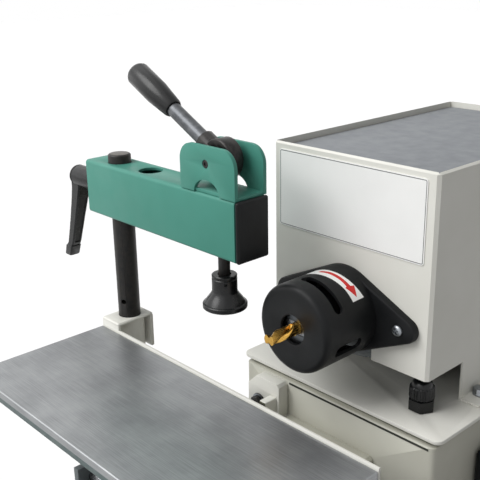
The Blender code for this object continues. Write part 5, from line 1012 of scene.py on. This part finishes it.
def seen_directly(tree, rays):
    """One for the rays of the camera and of glossy reflections."""
    return add_node(tree, "ShaderNodeMath", {"operation": "MAXIMUM"}, {
        0: rays.outputs["Is Camera Ray"], 1: rays.outputs["Is Glossy Ray"]}).outputs[0]


def stage_floor():
    """A floor that looks white and keeps the shadow, but throws less light back up."""
    shape = bmesh.new()
    bmesh.ops.create_grid(shape, x_segments=1, y_segments=1, size=FLOOR_SIZE)
    mesh = bpy.data.meshes.new("floor")
    shape.to_mesh(mesh)
    shape.free()
    floor = bpy.data.objects.new("floor", mesh)
    bpy.context.scene.collection.objects.link(floor)
    floor.location.z = CAD_BOX[0][2] - FLOOR_GAP
    pale, tree, shader, place = new_material("pale studio floor", 0.9, 0.0, 0.1)
    seen = seen_directly(tree, add_node(tree, "ShaderNodeLightPath"))
    tree.links.new(between(tree, seen, "#A6A6A6", "#FFFFFF"), shader.inputs["Base Color"])
    mesh.materials.append(pale)


def soft_sun(name, towards, power, spread_degrees):
    """A broad distant lamp, so that near and far surfaces get the same light."""
    light = bpy.data.lights.new(name, "SUN")
    light.energy = power
    light.angle = math.radians(spread_degrees)
    lamp = bpy.data.objects.new(name, light)
    lamp.rotation_euler = Vector(towards).to_track_quat("Z", "Y").to_euler()
    bpy.context.scene.collection.objects.link(lamp)


def studio_world(level):
    """A soft even room; the camera and bright metal see it white."""
    world = bpy.data.worlds.new("studio")
    world.use_nodes = True
    tree = world.node_tree
    tree.nodes.clear()
    rays = add_node(tree, "ShaderNodeLightPath")
    seen = add_node(tree, "ShaderNodeMath", {"operation": "MAXIMUM"}, {
        0: seen_directly(tree, rays), 1: rays.outputs["Is Transmission Ray"]}).outputs[0]
    strength = add_node(tree, "ShaderNodeMapRange", {}, {
        "Value": seen, "To Min": level, "To Max": 1.0}).outputs["Result"]
    back = add_node(tree, "ShaderNodeBackground", {}, {"Strength": strength})
    back.inputs["Color"].default_value = (1, 1, 1, 1)
    out = add_node(tree, "ShaderNodeOutputWorld")
    tree.links.new(back.outputs["Background"], out.inputs["Surface"])
    bpy.context.scene.world = world


def studio_camera():
    """The camera that stands where the photographer's stood."""
    data = bpy.data.cameras.new("camera")
    data.lens = LENS
    data.sensor_width = SENSOR
    data.clip_start = 0.01
    camera = bpy.data.objects.new("camera", data)
    camera.location = CAMERA_PLACE
    camera.rotation_euler = [math.radians(turn) for turn in CAMERA_TURN]
    bpy.context.scene.collection.objects.link(camera)
    bpy.context.scene.camera = camera


stage_floor()
soft_sun("key", (-0.34, -0.60, 0.74), KEY_POWER, KEY_SPREAD)
soft_sun("fill", (-0.50, -0.60, 0.62), FILL_POWER, FILL_SPREAD)
studio_world(ROOM_LEVEL)
studio_camera()
bpy.context.scene.view_settings.view_transform = "Standard"
